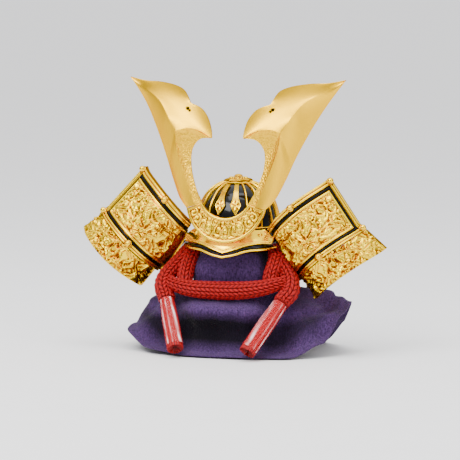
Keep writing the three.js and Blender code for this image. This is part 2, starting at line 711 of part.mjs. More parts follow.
function upperWing(side) {
  const insets = EDGE_PROFILE.map((row) => row.inset);
  const acrossPlaces = [
    ...insets,
    ...steps(EDGE_WIDTH, UPPER_WING_HEIGHT - EDGE_WIDTH, 4).slice(1, -1),
    ...insets.map((inset) => UPPER_WING_HEIGHT - inset).reverse(),
  ];
  const alongPlaces = [
    ...steps(0, WING_LENGTH - EDGE_WIDTH, 6).slice(0, -1),
    ...insets.map((inset) => WING_LENGTH - inset).reverse(),
  ];
  const lift = (u, v) => {
    const inset = Math.min(v, UPPER_WING_HEIGHT - v, WING_LENGTH - u);
    if (inset < EDGE_WIDTH + 1e-6) return edgeLift(inset);
    return WING_RELIEF * (0.2 + scrolls(u, v, 9.5));
  };
  const grid = alongPlaces.map((u) => acrossPlaces.map((v) => onWing(
    side, alongAt(u), (v / UPPER_WING_HEIGHT) * UPPER_WING_ACROSS, lift(u, v),
  )));
  const back = alongPlaces.map((u) => acrossPlaces.map((v) => (
    wingBase(side, alongAt(u), (v / UPPER_WING_HEIGHT) * UPPER_WING_ACROSS).add(at(0, -WING_WALL, 0))
  )));
  return between(grid, back);
}
function lowerWing(side) {
  const start = UPPER_WING_ACROSS + (GAP / LOWER_WING_HEIGHT) * (1 - UPPER_WING_ACROSS);
  const acrossPlaces = steps(start, 1, 5);
  const alongPlaces = steps(0, 1, 10);
  const grid = alongPlaces.map((u, i) => acrossPlaces.map((v, j) => {
    const edge = i === 10 || i === 0 || j === 5 || j === 0;
    const relief = scrolls(u * WING_LENGTH, (v * LOWER_WING_HEIGHT) / (1 - UPPER_WING_ACROSS), 8);
    return onWing(side, u, v, edge ? -0.8 : WING_RELIEF * (relief - 0.3));
  }));
  const back = alongPlaces.map((u) => acrossPlaces.map((v) => (
    wingBase(side, u, v).add(at(0, -LOWER_WING_WALL, 0))
  )));
  return between(grid, back);
}
// Lacquer inlay in the groove, along the top, round the outer end and back below
function wingInlay(side) {
  const near = WING_MOULDING + GAP;
  const far = WING_MOULDING + WING_INLAY_WIDTH - GAP;
  const lane = (inset) => {
    const end = WING_LENGTH - inset;
    const low = UPPER_WING_HEIGHT - inset;
    const start = 0.02 * WING_LENGTH;
    return [
      ...steps(start, end, 8).map((u) => [u, inset]),
      ...steps(inset, low, 5).slice(1).map((v) => [end, v]),
      ...steps(end, start, 8).slice(1).map((u) => [u, low]),
    ];
  };
  const strip = (lift) => lane(near).map((outer, i) => [outer, lane(far)[i]].map(([u, v]) => onWing(
    side, alongAt(u), (v / UPPER_WING_HEIGHT) * UPPER_WING_ACROSS, lift,
  )));
  return between(strip(1.1), strip(0.1));
}
const STUDS = [
  { name: 'top', along: 0.42, across: 0, sink: 0 },
  { name: 'corner', along: 1, across: 0, sink: 0 },
  { name: 'end', along: 1, across: 1, sink: 0 },
  { name: 'bottom', along: 0.38, across: 1, sink: 0.9 },
];
function stud(side, { along, across, sink }) {
  const inset = WING_MOULDING * 0.55;
  const u = alongAt(along === 1 ? WING_LENGTH - inset : along * WING_LENGTH);
  const v = (across ? UPPER_WING_HEIGHT - inset : inset) / UPPER_WING_HEIGHT;
  const r = STUD_RADIUS;
  const geometry = turned([[0, 0], [r, 0], [r * 0.85, 1.5], [0, 2.6]], 8);
  const normal = wingNormal(side, u, v * UPPER_WING_ACROSS);
  const place = onWing(side, u, v * UPPER_WING_ACROSS, 2.1 + GAP + 0.35 - sink);
  geometry.applyQuaternion(new THREE.Quaternion().setFromUnitVectors(new THREE.Vector3(0, 0, 1), normal));
  geometry.translate(place.x, place.y, place.z);
  return geometry;
}

// Neck guard lame round the back, cut clear of both wings
const LAME_ENDS_DEG = [76, 72, 72];
const LAME_SEAT = 1.5;
function lame(level, wings) {
  const end = LAME_ENDS_DEG[level];
  const angles = steps(radians(end), radians(360 - end), 18);
  const drop = LAME_HEIGHT - LAME_LAP;
  const start = level * ((LAME_FLARE * drop) / LAME_HEIGHT + LAME_WALL + 1.6 * GAP) + LAME_SEAT;
  const top = GUARD_TOP_Z - level * drop;
  const ring = (out) => angles.map((a) => [0, 0.5, 1].map((share) => at(
    (bandSide + start + out + share * LAME_FLARE) * Math.sin(a),
    (bandFront + start + out + share * LAME_FLARE) * Math.cos(a),
    top - share * LAME_HEIGHT,
  )));
  const plate = between(ring(LAME_WALL), ring(0));
  const shifts = [[0, GAP + 0.1, 0], [GAP, 0, 0], [-GAP, 0, 0], [0, 0, GAP]];
  return cut(plate, ...wings.flatMap((wing) => shifts.map((shift) => wing.clone().translate(...shift))));
}

// Cloth sections round the stand, front first and turning to +X.
// ridge, tuck and hem: share of the spread. The z values are shares of the flare height.
const CLOTH_FOLDS = [
  { turn: 0, ridge: 0.62, ridgeZ: 0.74, tuck: 0.55, tuckZ: 0.36, hem: 0.76, hemZ: 0.02 },
  { turn: 24, ridge: 0.63, ridgeZ: 0.72, tuck: 0.58, tuckZ: 0.34, hem: 0.8, hemZ: 0.02 },
  { turn: 45, ridge: 0.59, ridgeZ: 0.64, tuck: 0.66, tuckZ: 0.34, hem: 0.9, hemZ: 0.02 },
  { turn: 62, ridge: 0.7, ridgeZ: 0.66, tuck: 0.84, tuckZ: 0.5, hem: 0.96, hemZ: 0.2 },
  { turn: 78, ridge: 0.8, ridgeZ: 0.7, tuck: 0.92, tuckZ: 0.66, hem: 0.99, hemZ: 0.6 },
  { turn: 90, ridge: 0.83, ridgeZ: 0.9, tuck: 0.92, tuckZ: 0.82, hem: 1, hemZ: 0.74 },
  { turn: 104, ridge: 0.76, ridgeZ: 0.84, tuck: 0.82, tuckZ: 0.6, hem: 0.92, hemZ: 0.4 },
  { turn: 128, ridge: 0.68, ridgeZ: 0.72, tuck: 0.7, tuckZ: 0.4, hem: 0.84, hemZ: 0.02 },
  { turn: 158, ridge: 0.64, ridgeZ: 0.68, tuck: 0.62, tuckZ: 0.36, hem: 0.74, hemZ: 0.02 },
  { turn: 190, ridge: 0.62, ridgeZ: 0.7, tuck: 0.6, tuckZ: 0.36, hem: 0.74, hemZ: 0.02 },
  { turn: 222, ridge: 0.66, ridgeZ: 0.68, tuck: 0.66, tuckZ: 0.36, hem: 0.8, hemZ: 0.02 },
  { turn: 252, ridge: 0.74, ridgeZ: 0.72, tuck: 0.8, tuckZ: 0.44, hem: 0.88, hemZ: 0.2 },
  { turn: 276, ridge: 0.76, ridgeZ: 0.72, tuck: 0.84, tuckZ: 0.5, hem: 0.92, hemZ: 0.3 },
  { turn: 294, ridge: 0.68, ridgeZ: 0.66, tuck: 0.82, tuckZ: 0.42, hem: 0.95, hemZ: 0.26 },
  { turn: 312, ridge: 0.57, ridgeZ: 0.68, tuck: 0.66, tuckZ: 0.36, hem: 0.88, hemZ: 0.08 },
  { turn: 336, ridge: 0.63, ridgeZ: 0.74, tuck: 0.57, tuckZ: 0.36, hem: 0.79, hemZ: 0.02 },
];
const foldAt = (turn, key) => {
  const n = CLOTH_FOLDS.length;
  const next = (CLOTH_FOLDS.findIndex((row) => row.turn > turn) + n) % n;
  const row = (i) => CLOTH_FOLDS[(i + n) % n];
  const near = row(next - 1 < 0 ? n - 1 : next - 1);
  const far = row(next);
  const width = ((far.turn - near.turn + 360) % 360) || 360;
  const t = ((turn - near.turn + 360) % 360) / width;
  return lerp(near[key], far[key], (1 - Math.cos(t * Math.PI)) / 2);
};
// Rounded rectangle round the column, turned from the front towards +X
function aroundColumn(turn, extra, z) {
  const a = radians(turn);
  const halfX = COLUMN_WIDTH / 2 + extra;
  const halfY = COLUMN_DEPTH / 2 + extra;
  const power = 5;
  const reach = (Math.abs(Math.sin(a) / halfX) ** power + Math.abs(Math.cos(a) / halfY) ** power) ** (-1 / power);
  return at(reach * Math.sin(a), reach * Math.cos(a), z);
}
const TAPER_Z = COLUMN_HEIGHT - 16;
function standPost() {
  const turns = steps(0, 360, 24).slice(0, 24);
  const levels = [
    { z: FOOT_THICKNESS - 0.5, extra: 0 },
    { z: TAPER_Z, extra: 0 },
    { z: COLUMN_HEIGHT, extra: -COLUMN_TAPER },
  ];
  const ring = turns.map((turn) => levels.map(({ z, extra }) => aroundColumn(turn, extra, z)));
  const core = ring.map((row) => row.map((p) => at(0, 0, p.z)));
  const column = between(ring, core, true);
  const foot = new THREE.BoxGeometry(FOOT_WIDTH, FOOT_DEPTH, FOOT_THICKNESS);
  foot.translate(0, 0, FOOT_THICKNESS / 2);
  const pegTop = BOWL_TOP_Z - BOWL_WALL - SEAT;
  const peg = turned([
    [0, COLUMN_HEIGHT - 1],
    [PEG_RADIUS, COLUMN_HEIGHT - 1],
    [PEG_RADIUS, pegTop - 3],
    [PEG_RADIUS * 0.7, pegTop - 0.8],
    [0, pegTop],
  ], 16);
  return joined(foot, column, peg);
}
function standCloth() {
  const count = 28;
  const turns = steps(0, 360, count).slice(0, count);
  const outward = (turn, radius, z) => {
    const a = radians(turn);
    return at(radius * Math.sin(a), radius * Math.cos(a), z);
  };
  const off = SEAT + CLOTH_WALL + 0.3;
  const grid = turns.map((turn) => {
    const ridgeZ = foldAt(turn, 'ridgeZ') * CLOTH_FLARE_HEIGHT;
    const ridge = outward(turn, foldAt(turn, 'ridge') * CLOTH_SPREAD, ridgeZ);
    const tuckZ = foldAt(turn, 'tuckZ') * CLOTH_FLARE_HEIGHT;
    const tuck = outward(turn, foldAt(turn, 'tuck') * CLOTH_SPREAD, tuckZ);
    const hemZ = foldAt(turn, 'hemZ') * CLOTH_FLARE_HEIGHT + CLOTH_WALL + 0.2;
    const hem = outward(turn, foldAt(turn, 'hem') * CLOTH_SPREAD, hemZ);
    const waist = aroundColumn(turn, off + 1, CLOTH_FLARE_HEIGHT - 1);
    const slope = waist.clone().lerp(ridge, 0.45).setZ(lerp(waist.z, ridge.z, 0.7));
    const brow = ridge.clone().multiplyScalar(1.03).setZ(ridge.z - 5);
    const foot = tuck.clone().lerp(hem, 0.45).setZ(lerp(tuck.z, hem.z, 0.8));
    return [
      aroundColumn(turn, off - COLUMN_WIDTH / 2 + PEG_RADIUS + 6, COLUMN_HEIGHT + off),
      aroundColumn(turn, off - COLUMN_TAPER - 1, COLUMN_HEIGHT + off),
      aroundColumn(turn, off - COLUMN_TAPER + 0.4, COLUMN_HEIGHT + off - 1),
      aroundColumn(turn, off, TAPER_Z),
      waist, slope, ridge, brow, tuck, foot, hem,
    ];
  });
  return skin(grid, (p, n) => {
    const inward = p.clone().addScaledVector(n, -CLOTH_WALL);
    const flipped = p.clone().addScaledVector(n, CLOTH_WALL);
    const nearer = Math.hypot(inward.x, inward.y) + inward.z < Math.hypot(flipped.x, flipped.y) + flipped.z;
    return nearer ? inward : flipped;
  }, true);
}

// Cord routes. side: share of half the band's width. forward: share of the band's front.
// up: share of the bowl rim's height above the floor.
const cordPlace = ({ side, forward, up }) => at(side * bandSide, forward * bandFront, up * RIM_Z);
const CHIN_ROUTE = [
  { side: -1.396, forward: 0.971, up: 0.653 },
  { side: -1.246, forward: 1.046, up: 0.631 },
  { side: -0.967, forward: 1.111, up: 0.606 },
  { side: -0.644, forward: 1.158, up: 0.593 },
  { side: -0.301, forward: 1.167, up: 0.589 },
  { side: 0.301, forward: 1.167, up: 0.593 },
  { side: 0.644, forward: 1.158, up: 0.606 },
  { side: 0.945, forward: 1.13, up: 0.627 },
  { side: 1.224, forward: 1.064, up: 0.657 },
  { side: 1.42, forward: 0.984, up: 0.681 },
];
const TAIL_ROUTES = {
  left: [
    { side: -0.956, forward: 0.075, up: 0.934 },
    { side: -0.988, forward: 0.261, up: 0.93 },
    { side: -1.063, forward: 0.43, up: 0.911 },
    { side: -1.16, forward: 0.538, up: 0.877 },
    { side: -1.278, forward: 0.624, up: 0.831 },
    { side: -1.418, forward: 0.71, up: 0.771 },
    { side: -1.557, forward: 0.822, up: 0.699 },
    { side: -1.633, forward: 0.952, up: 0.602 },
    { side: -1.45, forward: 1.139, up: 0.496 },
  ],
  right: [
    { side: 0.956, forward: 0.075, up: 0.928 },
    { side: 0.988, forward: 0.261, up: 0.924 },
    { side: 1.042, forward: 0.43, up: 0.903 },
    { side: 1.117, forward: 0.528, up: 0.871 },
    { side: 1.224, forward: 0.598, up: 0.826 },
    { side: 1.364, forward: 0.71, up: 0.763 },
    { side: 1.525, forward: 0.859, up: 0.682 },
    { side: 1.633, forward: 1.008, up: 0.606 },
    { side: 1.493, forward: 1.195, up: 0.513 },
  ],
};
const STRAND_ROUTES = {
  left: [
    { side: -0.988, forward: 0.682, up: 0.809 },
    { side: -0.999, forward: 0.784, up: 0.75 },
    { side: -0.995, forward: 0.969, up: 0.66 },
  ],
  right: [
    { side: 1.085, forward: 0.803, up: 0.78 },
    { side: 1.035, forward: 0.855, up: 0.737 },
    { side: 0.995, forward: 0.938, up: 0.685 },
  ],
};
const TASSEL_ENDS = {
  left: { side: -0.945, forward: 1.923, up: 0.076 },
  right: { side: 0.816, forward: 1.98, up: 0.076 },
};
function tassel(start, end) {
  const count = 16;
  const angles = steps(0, 2 * Math.PI, count).slice(0, count);
  const rows = [
    { along: 0, radius: 0.02 },
    { along: 0, radius: 0.78 },
    { along: 0.12, radius: 0.92 },
    { along: 0.5, radius: 1 },
    { along: 1, radius: 1 },
    { along: 1, radius: 0.02 },
  ];
  const way = end.clone().sub(start);
  const length = Math.min(way.length() - GAP, TASSEL_LENGTH * 1.4);
  const body = angles.map((a, i) => rows.map(({ along, radius }) => {
    const r = radius * TASSEL_RADIUS * (i % 2 ? 0.88 : 1);
    return new THREE.Vector3(r * Math.cos(a), r * Math.sin(a), along * length);
  }));
  const core = body.map((row) => row.map((p) => new THREE.Vector3(0, 0, p.z)));
  return place(between(body, core, true), start, way);
}
function sleeve(start, end) {
  const way = end.clone().sub(start);
  const length = way.length() - 7;
  const inner = TASSEL_RADIUS + GAP;
  return place(turned([
    [inner, 2], [inner, length], [inner + SLEEVE_WALL, length], [inner + SLEEVE_WALL, 2], [inner, 2],
  ], 12), start, way);
}
function place(geometry, start, way) {
  const turn = new THREE.Quaternion().setFromUnitVectors(new THREE.Vector3(0, 0, 1), way.clone().normalize());
  geometry.applyQuaternion(turn);
  geometry.translate(start.x, start.y, start.z);
  return geometry;
}

// Assembly: stand
add('stand_post', standPost(), WOOD);
add('stand_cloth', standCloth(), PURPLE_CLOTH);

// Assembly: bowl, visor and crest
add('helmet_bowl', bowl(), BLACK_LACQUER);
add('bowl_band', bowlBand(), BLACK_LACQUER);
add('bowl_ribs', bowlRibs(), GOLD);
add('crown_rosette', crownRosette(), GOLD);
add('crown_finial', crownFinial(), GOLD);
add('visor_plate', visorPlate(), GOLD);
add('visor_band', visorBand(), BLACK_LACQUER);
add('visor_rim', visorRim(), GOLD);
add('crest_base', crestBase(), CAST_GOLD);
for (const [name, side] of SIDES) {
  add(`front_plate_${name}`, frontPlate(side), GOLD);
  add(`visor_rivet_${name}`, rivet(side), GOLD);
  add(`crest_horn_${name}`, horn(side), PALE_GOLD);
}

// Assembly: neck guard and wings, which lean together
const guard = new THREE.Group();
guard.position.z = RIM_Z + 37;
guard.rotation.y = radians(GUARD_LEAN_DEG);
helmet.add(guard);
const guardFrame = new THREE.Group();
guardFrame.position.z = -guard.position.z;
guard.add(guardFrame);
const wingBodies = [];
for (const [name, side] of SIDES) {
  const upper = upperWing(side);
  const lower = lowerWing(side);
  wingBodies.push(upper, lower);
  add(`wing_upper_${name}`, upper, CAST_GOLD, guardFrame);
  add(`wing_lower_${name}`, lower, CAST_GOLD, guardFrame);
  add(`wing_inlay_${name}`, wingInlay(side), BLACK_LACQUER, guardFrame);
  for (const row of STUDS) add(`wing_stud_${name}_${row.name}`, stud(side, row), GOLD, guardFrame);
}
for (let level = 0; level < LAME_COUNT; level += 1) {
  add(`neck_lame_${level + 1}`, lame(level, wingBodies), BLACK_LACQUER, guardFrame);
}

// Assembly: cords, tassels and their clear sleeves
const CORD_SIDES = 8;
const cord = (points, diameter, count) => bar(spline(points), diameter / 2, CORD_SIDES, count);
add('chin_cord', cord(CHIN_ROUTE.map(cordPlace), CORD_DIAMETER, 18), RED_CORD);
for (const [name] of SIDES) {
  const route = TAIL_ROUTES[name].map(cordPlace);
  const end = route[route.length - 1];
  const tip = cordPlace(TASSEL_ENDS[name]);
  const way = tip.clone().sub(end).normalize();
  const start = end.clone().addScaledVector(way, GAP);
  const tail = [...route.slice(0, -1), end.clone().addScaledVector(way, -5), end];
  add(`tassel_cord_${name}`, cord(tail, CORD_DIAMETER, 15), RED_CORD);
  add(`side_strand_${name}`, cord(STRAND_ROUTES[name].map(cordPlace), SIDE_STRAND_DIAMETER, 4), RED_CORD);
  add(`tassel_${name}`, tassel(start, tip), RED_CORD);
  add(`tassel_sleeve_${name}`, sleeve(start, tip), CLEAR_FILM);
}

export default helmet;
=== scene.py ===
"""Looks of a display kabuto on its draped stand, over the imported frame. Lengths are in millimetres."""
import bmesh
import bpy
import math
import numpy as np
from mathutils import Matrix, Vector


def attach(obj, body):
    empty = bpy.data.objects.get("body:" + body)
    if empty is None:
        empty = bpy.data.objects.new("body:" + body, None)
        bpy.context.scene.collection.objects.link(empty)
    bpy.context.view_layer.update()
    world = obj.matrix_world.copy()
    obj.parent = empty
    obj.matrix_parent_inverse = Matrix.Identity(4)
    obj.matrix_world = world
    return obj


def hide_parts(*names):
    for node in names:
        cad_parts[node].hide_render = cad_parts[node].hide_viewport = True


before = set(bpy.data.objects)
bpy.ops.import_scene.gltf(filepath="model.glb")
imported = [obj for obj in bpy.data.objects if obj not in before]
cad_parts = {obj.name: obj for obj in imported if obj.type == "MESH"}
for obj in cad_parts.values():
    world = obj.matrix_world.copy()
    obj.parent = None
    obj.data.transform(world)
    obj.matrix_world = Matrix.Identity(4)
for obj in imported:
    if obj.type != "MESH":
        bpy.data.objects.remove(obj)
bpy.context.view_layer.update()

# Sizes, as in the part's source
BOWL_WIDTH, BOWL_DEPTH, BOWL_HEIGHT, BOWL_WALL, FULLNESS = 90, 104, 65, 2, 2.6
COLUMN_WIDTH, COLUMN_DEPTH, COLUMN_HEIGHT, COLUMN_TAPER, PEG_RADIUS = 76, 84, 106, 6, 12
GAP, SEAT = 0.35, 0.5
RIM_Z = COLUMN_HEIGHT + 12
BOWL_TOP_Z = RIM_Z + BOWL_HEIGHT
BAND_TOP_Z = RIM_Z + 18
BAND_WALL = 1.2
BAND_SIDE = BOWL_WIDTH / 2 + GAP + BAND_WALL
BAND_FRONT = BOWL_DEPTH / 2 + GAP + BAND_WALL
VISOR_WIDTH, VISOR_PROJECTION, VISOR_DROP, VISOR_WALL = 102, 17, 27.5, 1.6
VISOR_TOP_Z = BAND_TOP_Z - 2
CREST_BOTTOM_Z = RIM_Z + 3
HORN_SPAN, HORN_RISE, HORN_SWEEP, HORN_WALL = 241.4, 141, 52, 2.4
WING_SPAN, WING_RISE, WING_PROJECTION, WING_CURL = 345, 130, 62, 2.2
WING_BOTTOM_Z = RIM_Z - 54
LEAN = math.radians(2.1)
LEAN_Z = RIM_Z + 37
CLOTH_SPREAD, CLOTH_FLARE, CLOTH_WALL = 128, 72, 1.6
SIDES = {"left": -1, "right": 1}
# Edges under the first three angles are shaded smooth, by kind of piece; bevels go on edges over the last
PLAIN_ANGLE, CAST_ANGLE, SOFT_ANGLE, BEVEL_ANGLE = 40, 60, 80, 45
STEPS_BETWEEN = 20


# Points, curves and grids
def at(x, forward, z):
    """Points from across, forward (toward -Y) and up."""
    return np.stack(np.broadcast_arrays(x, -np.asarray(forward, float), z), -1).astype(float)


def unit(v):
    return v / np.maximum(np.linalg.norm(v, axis=-1, keepdims=True), 1e-9)


def mix(a, b, t):
    return a + (b - a) * t


def held(x):
    """The value, held between 0 and 1."""
    return np.clip(x, 0, 1)


def rounded(x):
    """Cross-section of a round bead, for x from 0 to 1 over its width; 0 beside it."""
    return np.sqrt(held(1 - (2 * x - 1) ** 2))


def run_along(path):
    """Distance from the start at each point of a path."""
    return np.concatenate([[0], np.cumsum(np.linalg.norm(np.diff(path, axis=0), axis=1))])


def spline(points, count):
    """Points evenly spaced along a smooth curve through the given ones."""
    def between(a, b, start, stop):
        return ((stop - s) * a + (s - start) * b) / (stop - start)

    p = np.array(points, float)
    p = np.vstack([2 * p[0] - p[1], p, 2 * p[-1] - p[-2]])
    t = np.concatenate([[0], np.cumsum(np.sqrt(np.linalg.norm(np.diff(p, axis=0), axis=1)) + 1e-6)])
    path = []
    for i in range(1, len(p) - 2):
        p0, p1, p2, p3 = p[i - 1:i + 3]
        t0, t1, t2, t3 = t[i - 1:i + 3]
        s = np.linspace(t1, t2, STEPS_BETWEEN, endpoint=False)[:, None]
        a, b, c = between(p0, p1, t0, t1), between(p1, p2, t1, t2), between(p2, p3, t2, t3)
        path.append(between(between(a, b, t0, t2), between(b, c, t1, t3), t1, t2))
    path = np.vstack(path + [p[-2:-1]])
    arc = run_along(path)
    want = np.linspace(0, arc[-1], count + 1)
    return np.column_stack([np.interp(want, arc, path[:, k]) for k in range(3)])


def circle(count):
    """Column of angles, evenly spaced round a full turn."""
    return np.linspace(0, 2 * math.pi, count, endpoint=False)[:, None]


def normals_of(grid, toward):
    """Unit normals of a grid of points, on the side that faces the given way."""
    n = unit(np.cross(np.gradient(grid, axis=0), np.gradient(grid, axis=1)))
    flip = np.sign((n * np.asarray(toward, float)).sum(-1, keepdims=True))
    return n * np.where(flip == 0, 1, flip)


# Pieces
def grid_faces(rows, cols, start, wrap):
    """Four-sided faces of a grid whose points count from start; it may wrap round its rows."""
    i, j = np.meshgrid(np.arange(rows if wrap else rows - 1), np.arange(cols - 1), indexing="ij")
    a, b = start + i * cols + j, start + ((i + 1) % rows) * cols + j
    return np.stack([a, b, b + 1, a + 1], -1).reshape(-1, 4)


def slab(front, back, wrap=False):
    """Closed body between two grids of the same size."""
    rows, cols = front.shape[:2]
    n = rows * cols
    faces = [grid_faces(rows, cols, 0, wrap), grid_faces(rows, cols, n, wrap)[:, ::-1]]
    i = np.arange(rows if wrap else rows - 1)
    k = (i + 1) % rows
    for j, turn in ((0, 1), (cols - 1, -1)):
        a, b = i * cols + j, k * cols + j
        faces.append(np.stack([a, a + n, b + n, b], -1)[:, ::turn])
    if not wrap:
        j = np.arange(cols - 1)
        for row, turn in ((0, -1), (rows - 1, 1)):
            a = row * cols + j
            faces.append(np.stack([a, a + n, a + n + 1, a + 1], -1)[:, ::turn])
    return np.vstack([front.reshape(-1, 3), back.reshape(-1, 3)]), np.vstack(faces)


def capped(grid):
    """Closed body from a grid that goes round in its first direction."""
    sides, n = grid.shape[:2]
    caps = [np.arange(sides)[::-1] * n, np.arange(sides) * n + n - 1]
    return grid.reshape(-1, 3), grid_faces(sides, n, 0, True).tolist() + [c.tolist() for c in caps]


def slab_marks(front, back=None):
    """Marks of a slab: its back carries the front's values, or one value of its own."""
    front = np.ravel(front)
    return np.concatenate([front, front if back is None else np.full(front.size, back)])


def together(*bodies):
    """Several bodies as the points and faces of one."""
    points, faces, start = [], [], 0
    for p, f in bodies:
        points.append(p)
        faces.extend([[int(k) + start for k in face] for face in f])
        start += len(p)
    return np.vstack(points), faces


def leaning(body):
    """The body turned with the neck guard and the wings."""
    p, f = body
    p = p.copy()
    x, z = p[:, 0].copy(), p[:, 2] - LEAN_Z
    p[:, 0] = x * math.cos(LEAN) + z * math.sin(LEAN)
    p[:, 2] = LEAN_Z - x * math.sin(LEAN) + z * math.cos(LEAN)
    return p, f


def piece(name, body, paint, nodes, marks=None, edge=0.0, angle=PLAIN_ANGLE):
    """Smooth-shaded piece that rides on the frame, in place of the nodes."""
    points, faces = body
    mesh = bpy.data.meshes.new(name)
    mesh.from_pydata((np.asarray(points) / 1000).tolist(), [], [list(map(int, f)) for f in faces])
    for key, values in (marks or {}).items():
        layer = mesh.attributes.new(key, "FLOAT", "POINT")
        layer.data.foreach_set("value", np.asarray(values, float).ravel())
    mesh.validate()
    for polygon in mesh.polygons:
        polygon.use_smooth = True
    mesh.set_sharp_from_angle(angle=math.radians(angle))
    made = bpy.data.objects.new(name, mesh)
    bpy.context.collection.objects.link(made)
    outward(made)
    made.data.materials.append(paint.material)
    if edge:
        bevel = made.modifiers.new("edge", "BEVEL")
        bevel.width, bevel.segments, bevel.limit_method = edge / 1000, 2, "ANGLE"
        bevel.angle_limit = math.radians(BEVEL_ANGLE)
        bevel.harden_normals = True
    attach(made, "root")
    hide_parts(*nodes)
    return made


def outward(made):
    """Turns the faces of closed bodies outward."""
    form = bmesh.new()
    form.from_mesh(made.data)
    bmesh.ops.recalc_face_normals(form, faces=form.faces)
    form.to_mesh(made.data)
    form.free()


def turned(profile, sides):
    """Turned body about +Z from rows of radius and height, closed on the axis."""
    radius, height = np.array(profile, float).T
    a = circle(sides)
    return capped(at(radius * np.sin(a), -radius * np.cos(a), height))


def placed(body, spot, way):
    """The body with its +Z turned to the given way and its origin at the spot."""
    points, faces = body
    turn = np.array(Vector((0, 0, 1)).rotation_difference(Vector(way)).to_matrix())
    return points @ turn.T + np.asarray(spot), faces


def dome(radius, height, spot, way, sides):
    """Domed head that stands on a spot and faces a way."""
    a = np.linspace(0, math.pi / 2, 7)
    rows = [(radius * math.cos(t), height * math.sin(t)) for t in a[:-1]] + [(0.02, height)]
    return placed(turned([(radius, -0.3)] + rows, sides), spot, way)


def tube(path, radius, a):
    """Round bar along a path, with a radius for each angle and each point of the path."""
    along = unit(np.gradient(path, axis=0))
    sides = [unit(np.cross(along[0], [0, 0, 1] if abs(along[0][2]) < 0.9 else [1, 0, 0]))]
    for way in along[1:]:
        sides.append(unit(sides[-1] - way * np.dot(sides[-1], way)))
    sides, a = np.array(sides), a[..., None]
    return capped(path + radius[..., None] * (sides * np.cos(a) + np.cross(along, sides) * np.sin(a)))


# Shader arithmetic
class Value:
    """A shader value that takes part in arithmetic."""

    def __init__(self, paint, socket):
        self.paint, self.socket = paint, socket

    def __add__(self, other):
        return self.paint.math("ADD", self, other)

    def __sub__(self, other):
        return self.paint.math("SUBTRACT", self, other)

    def __mul__(self, other):
        return self.paint.math("MULTIPLY", self, other)

    def clamp(self):
        return self.paint.math("MAXIMUM", self.paint.math("MINIMUM", self, 1.0), 0.0)

    def sin(self):
        return self.paint.math("SINE", self)


class Paint:
    """A material: constants go straight onto the shader, the rest is linked."""

    def __init__(self, name, **constants):
        self.material = bpy.data.materials.new(name)
        self.material.use_nodes = True
        self.tree = self.material.node_tree
        self.shader = self.tree.nodes["Principled BSDF"]
        for key, value in constants.items():
            self.shader.inputs[key.replace("_", " ")].default_value = value

    def node(self, kind, settings=None, inputs=None, output=0):
        made = self.tree.nodes.new(kind)
        for key, value in (settings or {}).items():
            setattr(made, key, value)
        for key, value in (inputs or {}).items():
            if isinstance(value, Value):
                self.tree.links.new(value.socket, made.inputs[key])
            else:
                made.inputs[key].default_value = value
        return Value(self, made.outputs[output])

    def math(self, operation, a, b=0.0):
        return self.node("ShaderNodeMath", {"operation": operation}, {0: a, 1: b})

    def spot(self):
        return self.node("ShaderNodeTexCoord", output="Object")

    def stretched(self, scale):
        return self.node("ShaderNodeVectorMath", {"operation": "MULTIPLY"}, {0: self.spot(), 1: scale})

    def noise(self, size_mm, detail=3.0, rough=0.55, vector=None):
        """Noise from 0 to 1 with features of about the given size."""
        return self.node("ShaderNodeTexNoise", {}, {
            "Vector": vector or self.spot(), "Scale": 1000 / size_mm, "Detail": detail, "Roughness": rough})

    def cells(self, size_mm):
        return self.node("ShaderNodeTexVoronoi", {}, {"Vector": self.spot(), "Scale": 1000 / size_mm},
                         "Distance")

    def mark(self, name):
        return self.node("ShaderNodeAttribute", {"attribute_name": name}, output="Fac")

    def blend(self, factor, a, b):
        return self.node("ShaderNodeMix", {"data_type": "RGBA"}, {0: factor, 6: a, 7: b}, 2)

    def bump(self, height, millimetres, strength=1.0):
        self.set(Normal=self.node("ShaderNodeBump", {}, {
            "Strength": strength, "Distance": millimetres / 1000, "Height": height}))

    def set(self, **links):
        for key, value in links.items():
            self.tree.links.new(value.socket, self.shader.inputs[key.replace("_", " ")])


def colour(r, g, b):
    """Linear colour from 0 to 255 values in sRGB."""
    return tuple(((c / 255 + 0.055) / 1.055) ** 2.4 if c > 10 else c / 3295 for c in (r, g, b)) + (1.0,)


# Materials
METAL = {"Metallic": 1.0, "Specular_Tint": colour(255, 206, 30)}

p = GOLD = Paint("polished_gold", **METAL)
smear = p.noise(9, 4.0)
p.set(Base_Color=p.blend(smear, colour(246, 196, 4), colour(252, 214, 10)), Roughness=smear * 0.1 + 0.13)
p.bump(p.noise(0.8, 2.0), 0.02, 0.5)

p = CAST = Paint("cast_gold", **METAL)
worn = p.noise(1.6, 4.0)
# Painted shade: where the height mark is low, in the hollows and at the bead edges of the relief, the gold
# turns deep brown
p.set(Base_Color=p.blend(p.mark("height").clamp(), colour(140, 64, 0), colour(250, 210, 0)),
      Roughness=worn * 0.16 + 0.17)
p.bump(worn + p.noise(0.7, 2.0) * 0.4, 0.12, 0.6)

p = SATIN = Paint("satin_gold", **METAL)
metal = p.blend(p.noise(30, 2.0), colour(238, 184, 0), colour(246, 192, 0))
# Painted shade: the shallow dents where the horn is pierced go near black, for the dark seen through the
# openings
p.set(Base_Color=p.blend(p.mark("hole_and_painted_shade").clamp(), metal, colour(14, 6, 0)),
      Roughness=p.noise(4, 3.0) * 0.06 + 0.34)
p.bump(p.cells(2.2) * p.mark("grain") * 1.8 + p.noise(0.5, 2.0) * 0.1, 0.45, 1.0)

p = BLACK = Paint("black_lacquer", Base_Color=colour(2, 2, 2), Specular_IOR_Level=0.22)
p.set(Roughness=p.noise(12, 3.0) * 0.05 + 0.08)
p.bump(p.noise(14, 2.0), 0.05, 0.3)

p = INLAY = Paint("inlay_lacquer", Base_Color=colour(2, 3, 3), Specular_IOR_Level=0.12)
p.set(Roughness=p.noise(3, 3.0) * 0.15 + 0.16)
p.bump(p.noise(2.2, 2.0), 0.08, 0.4)

